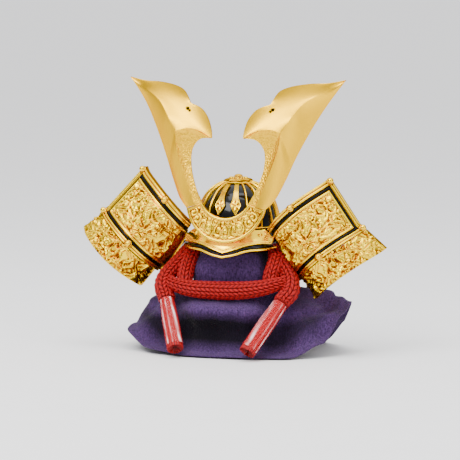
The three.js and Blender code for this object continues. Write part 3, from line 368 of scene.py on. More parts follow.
p = BRAID = Paint("red_braid", Specular_IOR_Level=0.25)
threads = (p.mark("thread") * 40.0).sin() * 0.5 + 0.5
# Painted shade: the red goes near black in the gaps between stitches, where the height mark is low
silk = p.blend(p.mark("height").clamp(), colour(10, 0, 1), colour(172, 0, 0))
p.set(Base_Color=p.blend(threads * 0.25, silk, colour(110, 0, 2)), Roughness=threads * 0.12 + 0.5)
p.bump(threads + p.noise(0.4, 2.0) * 0.5, 0.1, 0.6)

p = SILK = Paint("tassel_silk", Specular_IOR_Level=0.25)
strand = p.mark("thread")
# Painted shade: the grooves between threads and the hollow at the frayed end go dark red
p.set(Base_Color=p.blend(strand, colour(84, 0, 3), colour(178, 0, 5)), Roughness=strand * 0.2 + 0.45)
p.bump(strand + p.noise(0.5, 2.0) * 0.3, 0.25, 0.7)

p = FILM = Paint("clear_film", Specular_IOR_Level=0.4)
# Painted highlight: white, nearly opaque stripes on the film's crease ridges stand in for reflections of the
# lights
painted_highlight_streak = p.mark("painted_highlight_streak")
p.set(Base_Color=p.blend(painted_highlight_streak, colour(236, 40, 44), colour(255, 250, 248)),
      Alpha=(painted_highlight_streak * 0.85 + 0.12).clamp(), Roughness=painted_highlight_streak * 0.15 + 0.1)
p.bump(painted_highlight_streak + p.noise(5, 3.0), 0.3, 0.5)

p = CLOTH = Paint("purple_cloth", Sheen_Weight=0.06, Sheen_Roughness=0.4, Specular_IOR_Level=0.15)
crepe = p.noise(2.0, 3.0, 0.7)
weave = (p.noise(1.4, 2.0, 0.6, p.stretched((1.0, 1.0, 0.3))) + crepe) * 1.4 - 0.9
face = p.blend(weave.clamp(), colour(28, 14, 42), colour(88, 60, 112))
# Painted shade: where the fold mark is high, in the tuck under the ridge and on the column's right side, the
# purple goes near black
p.set(Base_Color=p.blend(p.mark("fold").clamp(), face, colour(5, 2, 8)), Roughness=crepe * 0.2 + 0.75)
p.bump(weave, 0.8, 1.0)

p = WOOD = Paint("plain_wood", Specular_IOR_Level=0.3)
rings = p.noise(3.5, 4.0, 0.6, p.stretched((1.0, 1.0, 0.08)))
p.set(Base_Color=p.blend(rings, colour(120, 84, 46), colour(176, 136, 88)), Roughness=rings * 0.2 + 0.55)
p.bump(rings, 0.15, 0.5)

# Camera at the photo's viewing angle
PHOTO_PIXELS, FOCAL_PIXELS, SENSOR, FAR_LIMIT, FLOOR_REACH = 460, 2594, 36, 250, 80
VIEW_AZIMUTH, VIEW_ELEVATION, VIEW_ROLL = (math.radians(a) for a in (14.5, 5.5, 0.36))
VIEW_TARGET, VIEW_DISTANCE = np.array([-9.2, 0, 129.1]), 2850
ahead = np.array([-math.sin(VIEW_AZIMUTH) * math.cos(VIEW_ELEVATION),
                  math.cos(VIEW_AZIMUTH) * math.cos(VIEW_ELEVATION), -math.sin(VIEW_ELEVATION)])
right = np.array([math.cos(VIEW_AZIMUTH), math.sin(VIEW_AZIMUTH), 0])
up = np.cross(right, ahead)
right, up = (right * math.cos(VIEW_ROLL) + up * math.sin(VIEW_ROLL),
             up * math.cos(VIEW_ROLL) - right * math.sin(VIEW_ROLL))
lens = bpy.data.cameras.new("camera")
lens.sensor_width, lens.lens, lens.sensor_fit = SENSOR, SENSOR * FOCAL_PIXELS / PHOTO_PIXELS, "HORIZONTAL"
lens.clip_end = FAR_LIMIT
camera = bpy.data.objects.new("camera", lens)
bpy.context.collection.objects.link(camera)
spot = (VIEW_TARGET - ahead * VIEW_DISTANCE) / 1000
camera.matrix_world = Matrix([[right[k], up[k], -ahead[k], spot[k]] for k in range(3)] + [[0, 0, 0, 1]])
bpy.context.scene.camera = camera

# Cords: routes as in the part's source
BRAID_COLUMNS, POINTS_PER_COLUMN = 13, 8
STITCH_LENGTH, STITCH_DEPTH, STITCH_SLANT = 5.2, 2.2, 0.85
CHIN_END_RADIUS, TAIL_END_RADIUS, STRAND_RADIUS, TASSEL_RADIUS = 6.6, 7.6, 9.3, 8.6
KNOT_PLACE, KNOT_REACH, KNOT_BULGE = 0.78, 0.12, 1.3
TASSEL_FRAY, FILM_SHORTER, FILM_INNER = 1.6, 6, 0.965
# Rows of side, forward and up: shares of the band's half width, of its front and of the rim's height
CHIN_ROUTE = [
    (-1.396, 0.971, 0.653), (-1.246, 1.046, 0.631), (-0.967, 1.111, 0.606), (-0.644, 1.158, 0.593),
    (-0.301, 1.167, 0.589), (0.301, 1.167, 0.593), (0.644, 1.158, 0.606), (0.945, 1.13, 0.627),
    (1.224, 1.064, 0.657), (1.42, 0.984, 0.681)]
TAIL_ROUTES = {
    "left": [(-0.956, 0.075, 0.934), (-0.988, 0.261, 0.93), (-1.05, 0.43, 0.911), (-1.12, 0.538, 0.877),
             (-1.2, 0.624, 0.831), (-1.35, 0.72, 0.76), (-1.48, 0.85, 0.68), (-1.49, 1.0, 0.585),
             (-1.36, 1.16, 0.488)],
    "right": [(0.956, 0.075, 0.928), (0.988, 0.261, 0.924), (1.042, 0.43, 0.903), (1.1, 0.528, 0.871),
              (1.2, 0.598, 0.826), (1.38, 0.73, 0.755), (1.52, 0.88, 0.67), (1.53, 1.05, 0.58),
              (1.38, 1.21, 0.492)]}
# Each with a first row out of sight, which the part's source doesn't have
STRAND_ROUTES = {
    "left": [(-0.95, 0.5, 0.9), (-0.99, 0.682, 0.809), (-1.01, 0.784, 0.75), (-1.01, 0.92, 0.66),
             (-0.99, 0.93, 0.6)],
    "right": [(1.12, 0.62, 0.88), (1.085, 0.803, 0.78), (1.06, 0.855, 0.737), (1.05, 0.92, 0.67),
              (1.04, 0.93, 0.61)]}
TASSEL_TIPS = {"left": (-0.9, 1.923, 0.076), "right": (0.79, 1.98, 0.076)}


def cord_place(rows):
    """Place of a row, or places of several."""
    side, forward, height = np.transpose(rows)
    return at(side * BAND_SIDE, forward * BAND_FRONT, height * RIM_Z)


def braid(name, path, radius, nodes):
    """Herringbone braid along a path: columns of stitches that slant to the left and the right in turn."""
    a = circle(BRAID_COLUMNS * POINTS_PER_COLUMN)
    run = run_along(path)[None]
    column = a * BRAID_COLUMNS / (2 * math.pi)
    across = column % 1
    slant = np.where(np.floor(column) % 2 > 0, across, 1 - across)
    stitches = run / STITCH_LENGTH + slant * STITCH_SLANT
    form = rounded(stitches % 1) * rounded(across) ** 0.4
    body = tube(path, radius - STITCH_DEPTH + STITCH_DEPTH * form, a)
    thread = across * 3 + (stitches % 1) * 1.5
    # The stitch form is also the height mark, from which shade is painted into the gaps between stitches
    return piece(name, body, BRAID, nodes, {"height": form, "thread": thread}, angle=SOFT_ANGLE)


chin_path = spline(cord_place(CHIN_ROUTE), 300)
share = np.linspace(0, 1, len(chin_path))
thickness = CHIN_END_RADIUS + 3.6 * np.sin(math.pi * share) ** 0.8
chin = braid("chin_braid", chin_path, thickness, ["chin_cord"])
chin_path[0] / 1000
chin_path / 1000


def tassel(side, start, end):
    """Bundle of threads with a frayed end, in its clear film."""
    way = unit(end - start)
    reach = np.linalg.norm(end - start) - 2 * GAP
    rng = np.random.default_rng(5)
    a = circle(96)
    run = np.linspace(0, 1, 60)[None]
    thread = 0.5 + 0.5 * np.sin(a * 24 + 3 * np.sin(run * 5 + a * 2))
    r = TASSEL_RADIUS * (0.84 + 0.13 * np.minimum(run * 2.6, 1)) + thread * 0.45
    body = at(r * np.cos(a), -r * np.sin(a), run * reach)
    body[:, -1, 2] -= rng.random(len(a)) * TASSEL_FRAY
    inner = body[:, -1:] * [0.66, 0.66, 1] - [0, 0, 1.2]
    hollow = body[:, -1:] * [0.1, 0.1, 1] - [0, 0, 3.4]
    body = np.concatenate([body[:, :1] * [0.05, 0.05, 1], body, inner, hollow], 1)
    # The thread mark is low in the grooves between threads and 0 in the hollow end, where shade is painted
    marks = np.concatenate([thread[:, :1], thread, thread[:, -1:] * 0.6, thread[:, -1:] * 0], 1)
    bundle = piece(f"tassel_threads_{side}", placed(capped(body), start + way * GAP, way), SILK,
                   [f"tassel_{side}"], {"thread": marks}, angle=SOFT_ANGLE)
    run = np.linspace(0, 1, 50)[None]
    crease = 0.5 + 0.5 * np.sin(6 * a + 2.3 * np.sin(2 * a + 1) + run * 1.5 + SIDES[side])
    # Painted highlight: stripes on the crease ridges, stronger on one side of the sleeve
    bright = 0.3 + 0.7 * np.sin(2.5 * a + 0.6) ** 2
    bright = bright * (0.7 + 0.3 * np.sin(run * 17 + 4 * a + 2 * np.sin(run * 6)))
    painted_highlight_streak = held(crease * 3 - 2.0) ** 1.6 * bright
    r = TASSEL_RADIUS * (0.88 + 0.16 * np.minimum(run * 2.4, 1)) + 0.35 + crease * 0.5
    skin = at(r * np.cos(a), -r * np.sin(a), 1.5 + run * (reach - FILM_SHORTER))
    inside = skin * [FILM_INNER, FILM_INNER, 1]
    film = piece(f"tassel_film_{side}", placed(slab(skin, inside, True), start + way * GAP, way), FILM,
                 [f"tassel_sleeve_{side}"], {"painted_highlight_streak": slab_marks(painted_highlight_streak)}, angle=SOFT_ANGLE)
    return [bundle, film]


for side in SIDES:
    route, tip = cord_place(TAIL_ROUTES[side]), cord_place(TASSEL_TIPS[side])
    ends = tassel(side, route[-1], tip)
    strand_path = spline(cord_place(STRAND_ROUTES[side]), 90)
    ends.append(braid(f"side_braid_{side}", strand_path, STRAND_RADIUS, [f"side_strand_{side}"]))
    path = spline([*route[:-1], route[-1] - 5 * unit(tip - route[-1]), route[-1]], 230)
    run = np.linspace(0, 1, len(path))
    knot = np.exp(-((run - KNOT_PLACE) / KNOT_REACH) ** 2)
    thickness = TAIL_END_RADIUS + 1.7 * held(run * 4) + KNOT_BULGE * knot
    tail = braid(f"tassel_braid_{side}", path, thickness, [f"tassel_cord_{side}"])
    path[0] / 1000
    path / 1000


# Bowl
def on_bowl(angle, z, out=0.0):
    """Places on the bowl at an angle from the front, a height and a distance out."""
    angle, z, out = np.broadcast_arrays(angle, z, out)
    low = held((z - RIM_Z) / BOWL_HEIGHT)
    reach = (1 - low ** FULLNESS) ** (1 / FULLNESS)
    side = reach ** (FULLNESS - 1)
    normal = unit(at(np.sin(angle) * side * 2 / BOWL_WIDTH, np.cos(angle) * side * 2 / BOWL_DEPTH,
                     low ** (FULLNESS - 1) / BOWL_HEIGHT))
    place = at(np.sin(angle) * reach * BOWL_WIDTH / 2, np.cos(angle) * reach * BOWL_DEPTH / 2, z)
    return place + normal * out[..., None]


def down_bowl(low, high, count):
    return low + (high - low) * np.sin(np.linspace(0, math.pi / 2, count))


ring_angles = circle(144)
heights = down_bowl(RIM_Z, BOWL_TOP_Z, 40)[None]
inner = on_bowl(ring_angles, heights, -BOWL_WALL)
inner[..., 2] = np.maximum(inner[..., 2], RIM_Z)
piece("bowl_shell", slab(on_bowl(ring_angles, heights), inner, True), BLACK, ["helmet_bowl"])

levels = at(0, 0, np.array([[RIM_Z + 1, BAND_TOP_Z - 1.6]]))
walls = [on_bowl(ring_angles, RIM_Z, GAP + out) * [1, 1, 0] + levels for out in (BAND_WALL, 0.2)]
piece("rim_band", slab(*walls, True), BLACK, ["bowl_band"], edge=0.4)

RIB_WIDTH, RIB_HEIGHT, RIB_FOOT, RIB_TOP_Z = 2.0, 1.5, 0.9, BOWL_TOP_Z - 1.2


def rib(angle):
    """Rounded strip down the bowl."""
    z = down_bowl(BAND_TOP_Z - 0.8, RIB_TOP_Z + 0.3, 40)[:, None]
    across = np.linspace(-1, 1, 9)[None]
    slide = across[..., None] * at(math.cos(angle), -math.sin(angle), 0) * RIB_WIDTH / 2
    lift = RIB_FOOT + RIB_HEIGHT * np.sqrt(1 - across ** 2)
    return slab(on_bowl(angle, z, lift) + slide, on_bowl(angle, z, 0.2) + slide)


def hoop(z, height, out):
    """Rounded ring round the bowl."""
    rows = np.linspace(0, 1, 7)[None]
    face = on_bowl(ring_angles, z + rows * height, RIB_FOOT + out * rounded(rows * 0.9 + 0.05))
    return slab(face, on_bowl(ring_angles, z + rows * height, 0.3), True)


ribs = [rib(math.radians(a)) for a in range(30, 331, 20)]
hoops = [hoop(BAND_TOP_Z - 1.2, 1.8, 2.0), hoop(RIB_TOP_Z - 0.6, 1.4, 1.3)]
piece("rib_cage", together(*hoops, *ribs), GOLD, ["bowl_ribs"], angle=CAST_ANGLE)

# Rows of the share down a front plate and its share of the width
FRONT_PLATE = [(0, 0.36), (0.3, 0.42), (0.5, 0.5), (0.58, 0.62), (0.74, 1), (0.86, 0.62), (1, 0.03)]
PLATE_WIDTH, PLATE_LENGTH, FLOWER_DOWN, FLOWER_RADIUS = 12, 30, 0.74, 4.2
for side, sign in SIDES.items():
    middle = sign * math.radians(12)
    down = np.linspace(0, 1, 50)[:, None]
    width = np.interp(down, *zip(*FRONT_PLATE)) * PLATE_WIDTH
    across = np.linspace(-1, 1, 25)[None]
    rim = np.abs(across) > 0.78
    x, y = across * width / 2, (down - FLOWER_DOWN) * PLATE_LENGTH
    flower = np.hypot(x, y) < FLOWER_RADIUS
    petals = 0.35 * (np.cos(5 * np.arctan2(x, y)) * 0.5 + 0.5) * flower
    lift = 2.3 + 0.5 * rounded((np.abs(across) - 0.76) / 0.24) + petals
    z = BOWL_TOP_Z - 3.6 - down ** 1.35 * PLATE_LENGTH
    slide = x[..., None] * at(math.cos(middle), -math.sin(middle), 0)
    # Painted light and shade: the edge beads and petals painted brighter, the ground between the petals
    # darker
    shade = held(0.55 + 0.6 * rim + petals * 2 - 0.75 * flower * (petals < 0.12))
    body = slab(on_bowl(middle, z, lift) + slide, on_bowl(middle, z, 1.0) + slide)
    piece(f"front_arrow_{side}", body, CAST, [f"front_plate_{side}"], {"height": slab_marks(shade)})

CROWN_RADIUS, BEAD_RING = 16, (9.2, 10.4)
CROWN_CLEAR, KNOB_SEAT_Z = GAP + 2.3, BOWL_TOP_Z + GAP + 1.3 + 1 + 2.6 + GAP
KNOB = [(0.02, 0), (5, 0), (5, 0.5), (4.2, 0.7), (4.4, 1.2), (3.6, 1.9), (2, 2.45), (0.02, 2.6)]


def crown():
    """Eight-petalled plate, a ring of beads and a small dome."""
    a = circle(192)
    r = np.linspace(0.03, 1, 34)[None]
    petal = 1 - 0.16 * np.abs(np.cos(a * 4)) ** 0.7
    radius = r * CROWN_RADIUS * mix(1, petal, held((r - 0.5) * 2))
    low = held(2 * radius / BOWL_WIDTH)
    seat = RIM_Z + BOWL_HEIGHT * (1 - low ** FULLNESS) ** (1 / FULLNESS) + CROWN_CLEAR
    form = 1.5 * rounded((r - 0.45) / 0.55) * (0.45 + 0.55 * np.abs(np.sin(a * 4)) ** 0.6)
    lift = np.where(r < 0.47, 2.2, form + 0.4)
    x, forward = radius * np.sin(a), radius * np.cos(a) * BOWL_DEPTH / BOWL_WIDTH
    plate = slab(at(x, forward, seat + lift), at(x, forward, seat), True)
    t = circle(20)
    spots = at(BEAD_RING[0] * np.sin(t), BEAD_RING[1] * np.cos(t), BOWL_TOP_Z + CROWN_CLEAR + 1.2)[:, 0]
    beads = [dome(1.15, 1.3, spot, (0, 0, 1), 12) for spot in spots]
    # Painted shade: the petals darker where their relief lies low; the beads full bright
    marks = np.concatenate([slab_marks(np.clip(lift / 2.2, 0.15, 1)), np.ones(sum(len(b[0]) for b in beads))])
    piece("crown_petals", together(plate, *beads), CAST, ["crown_rosette"], {"height": marks},
          angle=CAST_ANGLE)
    knob = turned([(radius, KNOB_SEAT_Z + z) for radius, z in KNOB], 48)
    piece("crown_knob", knob, GOLD, ["crown_finial"])


crown()

# Visor: rows of across, out and down shares
VISOR_BORDER = [
    (0, 0.83, 0.87), (0.235, 0.69, 0.73), (0.47, 0.4, 0.57), (0.7, -0.07, 0.51), (0.937, -0.71, 0.54)]
VISOR_RIM = [(0, 1, 1), (0.216, 0.87, 0.93), (0.51, 0.49, 0.77), (0.82, -0.19, 0.73), (1, -1.1, 0.68)]
BEAD_RADIUS, END_SWELL, FRONT_SAG = 1.3, 5.5, 2.2


def visor_line(table, count):
    """Line across the visor from a table of its half."""
    across, out, down = np.array(table).T
    left, right = (spline(at(sign * across * VISOR_WIDTH / 2, BAND_FRONT + out * VISOR_PROJECTION,
                             VISOR_TOP_Z - down * VISOR_DROP), count) for sign in SIDES.values())
    return np.vstack([left[::-1], right[1:]])


def visor():
    count = 50
    place = np.linspace(-1, 1, 2 * count + 1)[:, None]
    turn, off = place[:, 0] * math.radians(52), SEAT + VISOR_WALL
    top = at((BAND_SIDE + off) * np.sin(turn), (BAND_FRONT + off) * np.cos(turn), VISOR_TOP_Z)
    border, rim = visor_line(VISOR_BORDER, count), visor_line(VISOR_RIM, count)
    v = np.linspace(0, 1, 40)[None]
    grid = mix(top[:, None], border[:, None], v[..., None])
    end = np.abs(place) ** 5
    grid[..., 0] += np.sign(place) * end * END_SWELL * 4 * v * (1 - v)
    grid[..., 2] -= FRONT_SAG * np.sin(v * math.pi) * (1 - end)
    normal = normals_of(grid, (0, -1, 0.5))
    drop = np.linalg.norm(border - top, axis=1)[:, None] * (1 - v)
    inset = np.minimum(drop, (1 - np.abs(place)) * 60)
    bead = 0.75 * rounded(inset / 2.6) + 0.45 * rounded((inset - 3.4) / 1.4)
    back = grid - normal * VISOR_WALL
    piece("visor_shell", slab(grid + bead[..., None] * normal, back), GOLD, ["visor_plate"], edge=0.3)
    way = rim - border
    reach = np.linalg.norm(way, axis=1, keepdims=True)
    rows = np.linspace(0, 1, 8)[None, :, None]
    start, stop = (GAP + BEAD_RADIUS) / reach, (reach - BEAD_RADIUS - GAP - 1.2) / reach
    band = border[:, None] + way[:, None] * mix(start[:, None], stop[:, None], rows) + at(0, -0.4, -0.3)
    band = band + at(0, 0.5 * rounded(rows[..., 0]), 0)
    piece("visor_lacquer", slab(band, band - at(0, 1.6, 0)), BLACK, ["visor_band"])
    path = spline(visor_line(VISOR_RIM, 12), 160)
    bead = tube(path, np.full((1, len(path)), BEAD_RADIUS), circle(16))
    piece("visor_bead", bead, GOLD, ["visor_rim"])
    for side, sign in SIDES.items():
        i, j = count + sign * 40, 10
        spot = grid[i, j] + normal[i, j] * SEAT
        stud = together(dome(2.2, 1.4, spot, normal[i, j], 24), dome(2.7, 0.35, spot, normal[i, j], 24))
        piece(f"visor_stud_{side}", stud, GOLD, [f"visor_rivet_{side}"])


visor()


# Cast relief, from tables of random numbers that repeat
CELLS = 64


def scrollwork(x, y, pitch, seed):
    """Arabesque in relief from 0 to 1: spirals about staggered centres, with small leaves where they meet."""
    rng = np.random.default_rng(seed)
    jitter = rng.uniform(-0.2, 0.2, (CELLS, CELLS, 2))
    phase = rng.uniform(0, 6.28, (CELLS, CELLS))
    wind = rng.choice([-1, 1], (CELLS, CELLS))
    row = np.round(y / pitch)
    near, next_near, form = np.full(x.shape, 9.0), np.full(x.shape, 9.0), np.zeros(x.shape)
    for dy in (-1, 0, 1):
        cy = row + dy
        shift = (cy % 2) * 0.5
        column = np.round(x / pitch - shift)
        for dx in (-1, 0, 1):
            cx = column + dx
            i, j = cx.astype(int) % CELLS, cy.astype(int) % CELLS
            px = x / pitch - cx - shift - jitter[i, j, 0]
            py = y / pitch - cy - jitter[i, j, 1]
            d = np.hypot(px, py)
            turn = np.arctan2(py, px) * wind[i, j] + phase[i, j]
            coil = 0.5 + 0.5 * np.cos(turn + d * 17)
            leaf = 0.5 + 0.5 * np.cos(3 * turn - d * 9)
            value = np.where(d < 0.16, 1.0, coil ** 0.8) * (1 - 0.35 * d)
            value = value * mix(1, 0.55 + 0.6 * leaf, held(d * 2))
            closer = d < near
            next_near = np.where(closer, near, np.minimum(next_near, d))
            form = np.where(closer, value, form)
            near = np.where(closer, d, near)
    seam = held((next_near - near) * 5)
    return held(form * (0.35 + 0.65 * seam))


def lumps(x, y, size, seed):
    """Smooth random hills from 0 to 1, about the given size apart."""
    table = np.random.default_rng(seed).random((CELLS, CELLS))
    x, y = x / size, y / size
    i, j = np.floor(x).astype(int), np.floor(y).astype(int)
    fx, fy = x - i, y - j
    fx, fy = fx * fx * (3 - 2 * fx), fy * fy * (3 - 2 * fy)
    low, high = (mix(table[i % CELLS, k % CELLS], table[(i + 1) % CELLS, k % CELLS], fx) for k in (j, j + 1))
    return mix(low, high, fy)


def foliage(x, y, pitch, seed):
    """Cast foliage from 0 to 1: scrolls bent out of true, leaf veins between them and a beaten ground."""
    bent_x, bent_y = (w + pitch * 0.55 * (lumps(x, y, pitch * 0.7, seed + k) - 0.5) * 2
                      for k, w in enumerate((x, y)))
    scrolls = scrollwork(bent_x, bent_y, pitch, seed)
    veins = 1 - np.abs(2 * lumps(bent_x, bent_y, pitch * 0.36, seed + 2) - 1)
    ground = lumps(x, y, 1.3, seed + 3)
    broad = lumps(x, y, pitch * 1.1, seed + 4)
    return held(0.62 * scrolls + 0.5 * veins ** 2 + 0.16 * ground + 0.3 * (broad - 0.5))


# Crest base
CREST_OUTER, CREST_INNER = (44.4, 44.4, math.radians(79)), (29.1, 56, math.radians(61.5))
CREST_WALL, CREST_BORDER, BOSS_RADIUS, BOSS_PLACE = 3.6, 3.2, 4.4, 17
CREST_HALF_LENGTH, CREST_DEPTH, CREST_PITCH, LEAF_PITCH, CREST_SEED = 60, 22, 11, 8, 8


def crest_forward(x, z):
    return BAND_FRONT + 11.75 - 0.15 * (z - CREST_BOTTOM_Z) - 0.0026 * x * x


def crest_point(across, inward):
    """Place on the crescent, from -1 to 1 across and from 0 on its outer to 1 on its inner arc."""
    (r0, lift0, end0), (r1, lift1, end1) = CREST_OUTER, CREST_INNER
    x = mix(r0 * np.sin(across * end0), r1 * np.sin(across * end1), inward)
    z = CREST_BOTTOM_Z + mix(lift0 - r0 * np.cos(across * end0), lift1 - r1 * np.cos(across * end1), inward)
    return x, z


def crest_plate():
    across, inward = np.meshgrid(np.linspace(-1, 1, 230), np.linspace(0, 1, 66), indexing="ij")
    x, z = crest_point(across, inward)
    deep = 25 - 6 * np.abs(across)
    inset = np.minimum(np.minimum(inward, 1 - inward) * deep, (1 - np.abs(across)) * CREST_HALF_LENGTH)
    border = inset < CREST_BORDER
    rim = 1.4 * rounded(inset / CREST_BORDER)
    field = held((inset - CREST_BORDER) / 1.2)
    along, down = across * CREST_HALF_LENGTH, inward * CREST_DEPTH
    relief = 1.5 * scrollwork(along + 3, down + 2, CREST_PITCH, CREST_SEED)
    relief = relief + 0.5 * foliage(along, down, LEAF_PITCH, CREST_SEED)
    away = np.hypot(np.abs(x) - BOSS_PLACE, z - CREST_BOTTOM_Z - BOSS_PLACE)
    boss = 1.5 * rounded(0.5 + away / BOSS_RADIUS / 2) + 0.2 * np.cos(away * 3)
    relief = np.where(away < BOSS_RADIUS, boss, relief)
    face = at(x, crest_forward(x, z) + np.where(border, rim, field * relief), z)
    back = at(x, crest_forward(x, z) - CREST_WALL, z)
    # Painted shade: the relief darker in its hollows; the border one even tone
    shade = np.where(border, 0.75, held(1.4 * relief - 0.3))
    piece("crest_plate", slab(face, back), CAST, ["crest_base"], {"height": slab_marks(shade)})


crest_plate()

# Horns: rows of span, rise and sweep shares, as in the part's source
TIP, LOBE, FORK = (1, 1, 1), (0.144, 0.552, 0.19), (0.484, 0.599, 0.21)
NECK, NOTCH = (0.342, 0.4, 0.25), (0.371, 0.808, 0.438)
HORN = {
    "outer": [
        (0.435, 0.085, 0.2), (0.524, 0.245, 0.35), (0.599, 0.405, 0.475), (0.729, 0.638, 0.71),
        (0.848, 0.816, 0.9), TIP],
    "ridge": [(0.35, 0.191, 0.083), (0.44, 0.4, 0.14), (0.472, 0.496, 0.17), FORK],
    "brow": [
        FORK, (0.519, 0.645, 0.256), (0.58, 0.73, 0.342), (0.667, 0.823, 0.53), (0.794, 0.894, 0.76),
        (0.903, 0.947, 0.91), TIP],
    "inner": [(0.272, 0.156, 0.1), (0.33, 0.305, 0.208), NECK],
    "under": [
        NECK, (0.331, 0.463, 0.256), (0.299, 0.511, 0.246), (0.253, 0.543, 0.227), (0.199, 0.552, 0.208),
        LOBE],
    "crease": [
        FORK, (0.418, 0.62, 0.188), (0.35, 0.625, 0.175), (0.277, 0.615, 0.175), (0.202, 0.582, 0.179), LOBE],
    "lobe_top": [
        LOBE, (0.148, 0.6, 0.215), (0.185, 0.7, 0.265), (0.25, 0.77, 0.335), (0.323, 0.8, 0.4), NOTCH],
    "top": [
        NOTCH, (0.385, 0.84, 0.465), (0.439, 0.91, 0.525), (0.52, 0.944, 0.6), (0.688, 0.97, 0.746),
        (0.87, 0.976, 0.895), TIP]}
# Rows of span and rise shares, then radius
HORN_HOLES, HOLE_DEPTH = [(0.392, 0.772, 1.7), (0.373, 0.757, 1.2)], 1.4
SKIN_ROUNDS, FOLD_ANGLE = 900, 24
HORN_FOOT_Z = CREST_BOTTOM_Z + 34
HORN_FOOT_FORWARD = crest_forward(0, HORN_FOOT_Z) - 0.2


def horn_place(sign, span, rise, sweep):
    return at(sign * span * HORN_SPAN / 2, HORN_FOOT_FORWARD - sweep * HORN_SWEEP,
              HORN_FOOT_Z + rise * HORN_RISE)


def horn_foot(sign, inward, out):
    """Place at the crescent's end where a horn starts."""
    x, z = crest_point(1.0, inward)
    (x0, z0), (x1, z1) = crest_point(1.0, 0.0), crest_point(1.0, 1.0)
    clear = 0.05 / math.hypot(x1 - x0, z1 - z0)
    return at(sign * (x + (z1 - z0) * clear), crest_forward(x, z) + out, z + (x0 - x1) * clear)


def relaxed(grid):
    """The grid smoothed like a stretched skin between its four edges."""
    grid = grid.copy()
    for _ in range(SKIN_ROUNDS):
        around = grid[:-2, 1:-1] + grid[2:, 1:-1] + grid[1:-1, :-2] + grid[1:-1, 2:]
        grid[1:-1, 1:-1] = mix(grid[1:-1, 1:-1], around / 4, 0.9)
    return grid


def horn(side, sign):
    def line(key, count, foot=()):
        return spline([*foot, *horn_place(sign, *np.transpose(HORN[key]))], count)

    stem, lobe, head, top = 60, 48, 40, 80
    ridge_foot = [horn_foot(sign, 0.55, 1.6)]
    brow = line("brow", head + top)
    ridge = np.vstack([line("ridge", stem, ridge_foot), brow[1:]])
    outer = line("outer", len(ridge) - 1, [horn_foot(sign, 0, 0)])
    crease = np.vstack([line("ridge", stem, ridge_foot), line("crease", lobe)[1:]])
    inner = np.vstack([line("inner", stem, [horn_foot(sign, 1, 0)]), line("under", lobe)[1:]])
    whole_brow = line("brow", lobe + head + top)
    rim = np.vstack([line("crease", lobe), line("lobe_top", head)[1:], line("top", top)[1:]])

    def face(a, b, count, bulge, toward):
        v = np.linspace(0, 1, count)[None, :, None]
        grid = mix(a[:, None], b[:, None], v)
        n = normals_of(grid, toward)
        n = np.where(np.linalg.norm(n, axis=-1, keepdims=True) < 0.5, [0, -1, 0], n)
        return grid + n * bulge * 4 * v * (1 - v)

    faces = [face(outer, ridge, 16, 1.2, (sign, -1, 0)), face(crease, inner, 16, -1.0, (-sign, -1, -0.3)),
             relaxed(face(whole_brow, rim, 60, 0.5, (0, -1, 0.2)))]
    bodies, grain, hole_shade_marks = [], [], []
    for k, grid in enumerate(faces):
        hole_and_painted_shade = np.zeros(grid.shape[:2])
        for span, rise, radius in HORN_HOLES if k == 2 else ():
            spot = horn_place(sign, span, rise, 0)
            away = np.hypot(grid[..., 0] - spot[0], grid[..., 2] - spot[2])
            hole_and_painted_shade = np.maximum(hole_and_painted_shade, held((radius - away) * 2 + 0.5))
        bodies.append(slab(grid + at(0, -HOLE_DEPTH * hole_and_painted_shade, 0), grid + at(0, -HORN_WALL, 0)))
        # The same mask dents each opening and paints it near black as shade
        hole_shade_marks.append(slab_marks(hole_and_painted_shade))
        down = np.linspace(1, 0, len(grid))[:, None]
        rough = held(1.4 - down * 0.6) if k == 1 else 0.0
        grain.append(slab_marks(rough + np.zeros(hole_and_painted_shade.shape)))
    piece(f"horn_{side}", together(*bodies), SATIN, [f"crest_horn_{side}"],
          {"grain": np.concatenate(grain), "hole_and_painted_shade": np.concatenate(hole_shade_marks)}, angle=FOLD_ANGLE)


for side, sign in SIDES.items():
    horn(side, sign)

# Wings: rows of across, then x, z and forward shares at the inner end, the middle and the outer end
WING_ROWS = [
    (0, (0, 0.306, 0.834), (0.57, 0.765, 1), (0.58, 0.77, 0.23)),
    (0.55, (0.246, 0.375, 0.9), (0.208, 0.423, 0.644), (0.565, 0.935, 0.4)),
    (0.66, (0.3, 0.375, 0.917), (0.158, 0.369, 0.596), (0.55, 0.97, 0.385)),
    (1, (0.424, 0.444, 1), (0, 0.223, 0.45), (0.515, 1, 0.32))]
UPPER = 0.66
WING_ROOT_X = 0.943 * BAND_SIDE
WING_REACH = WING_SPAN / 2 - WING_ROOT_X - 0.424 * WING_RISE
WING_LENGTH = 1.2 * math.hypot(0.834 * WING_REACH, 0.43 * WING_RISE)
UPPER_HEIGHT, LOWER_HEIGHT = 0.515 * WING_RISE, 0.212 * WING_RISE
MOULDING, INLAY_WIDTH, BORDER, WING_FLANGE, WING_COLUMNS = 6.4, 3.2, 3.6, 5, 170
PANEL_PITCH, PANEL_SEED, PANEL_RELIEF, PANEL_BACK = 14, 11, 3.4, 8
SKIRT_PITCH, SKIRT_SEED, SKIRT_RELIEF, SKIRT_BACK = 13, 23, 3.3, 7
STUD_INSET = MOULDING * 0.55
STUD_FAR, STUD_LOW = WING_LENGTH - STUD_INSET, UPPER_HEIGHT - STUD_INSET
STUD_PLACES = [(0.42 * WING_LENGTH, STUD_INSET), (STUD_FAR, STUD_INSET), (STUD_FAR, STUD_LOW),
               (0.38 * WING_LENGTH, STUD_LOW)]


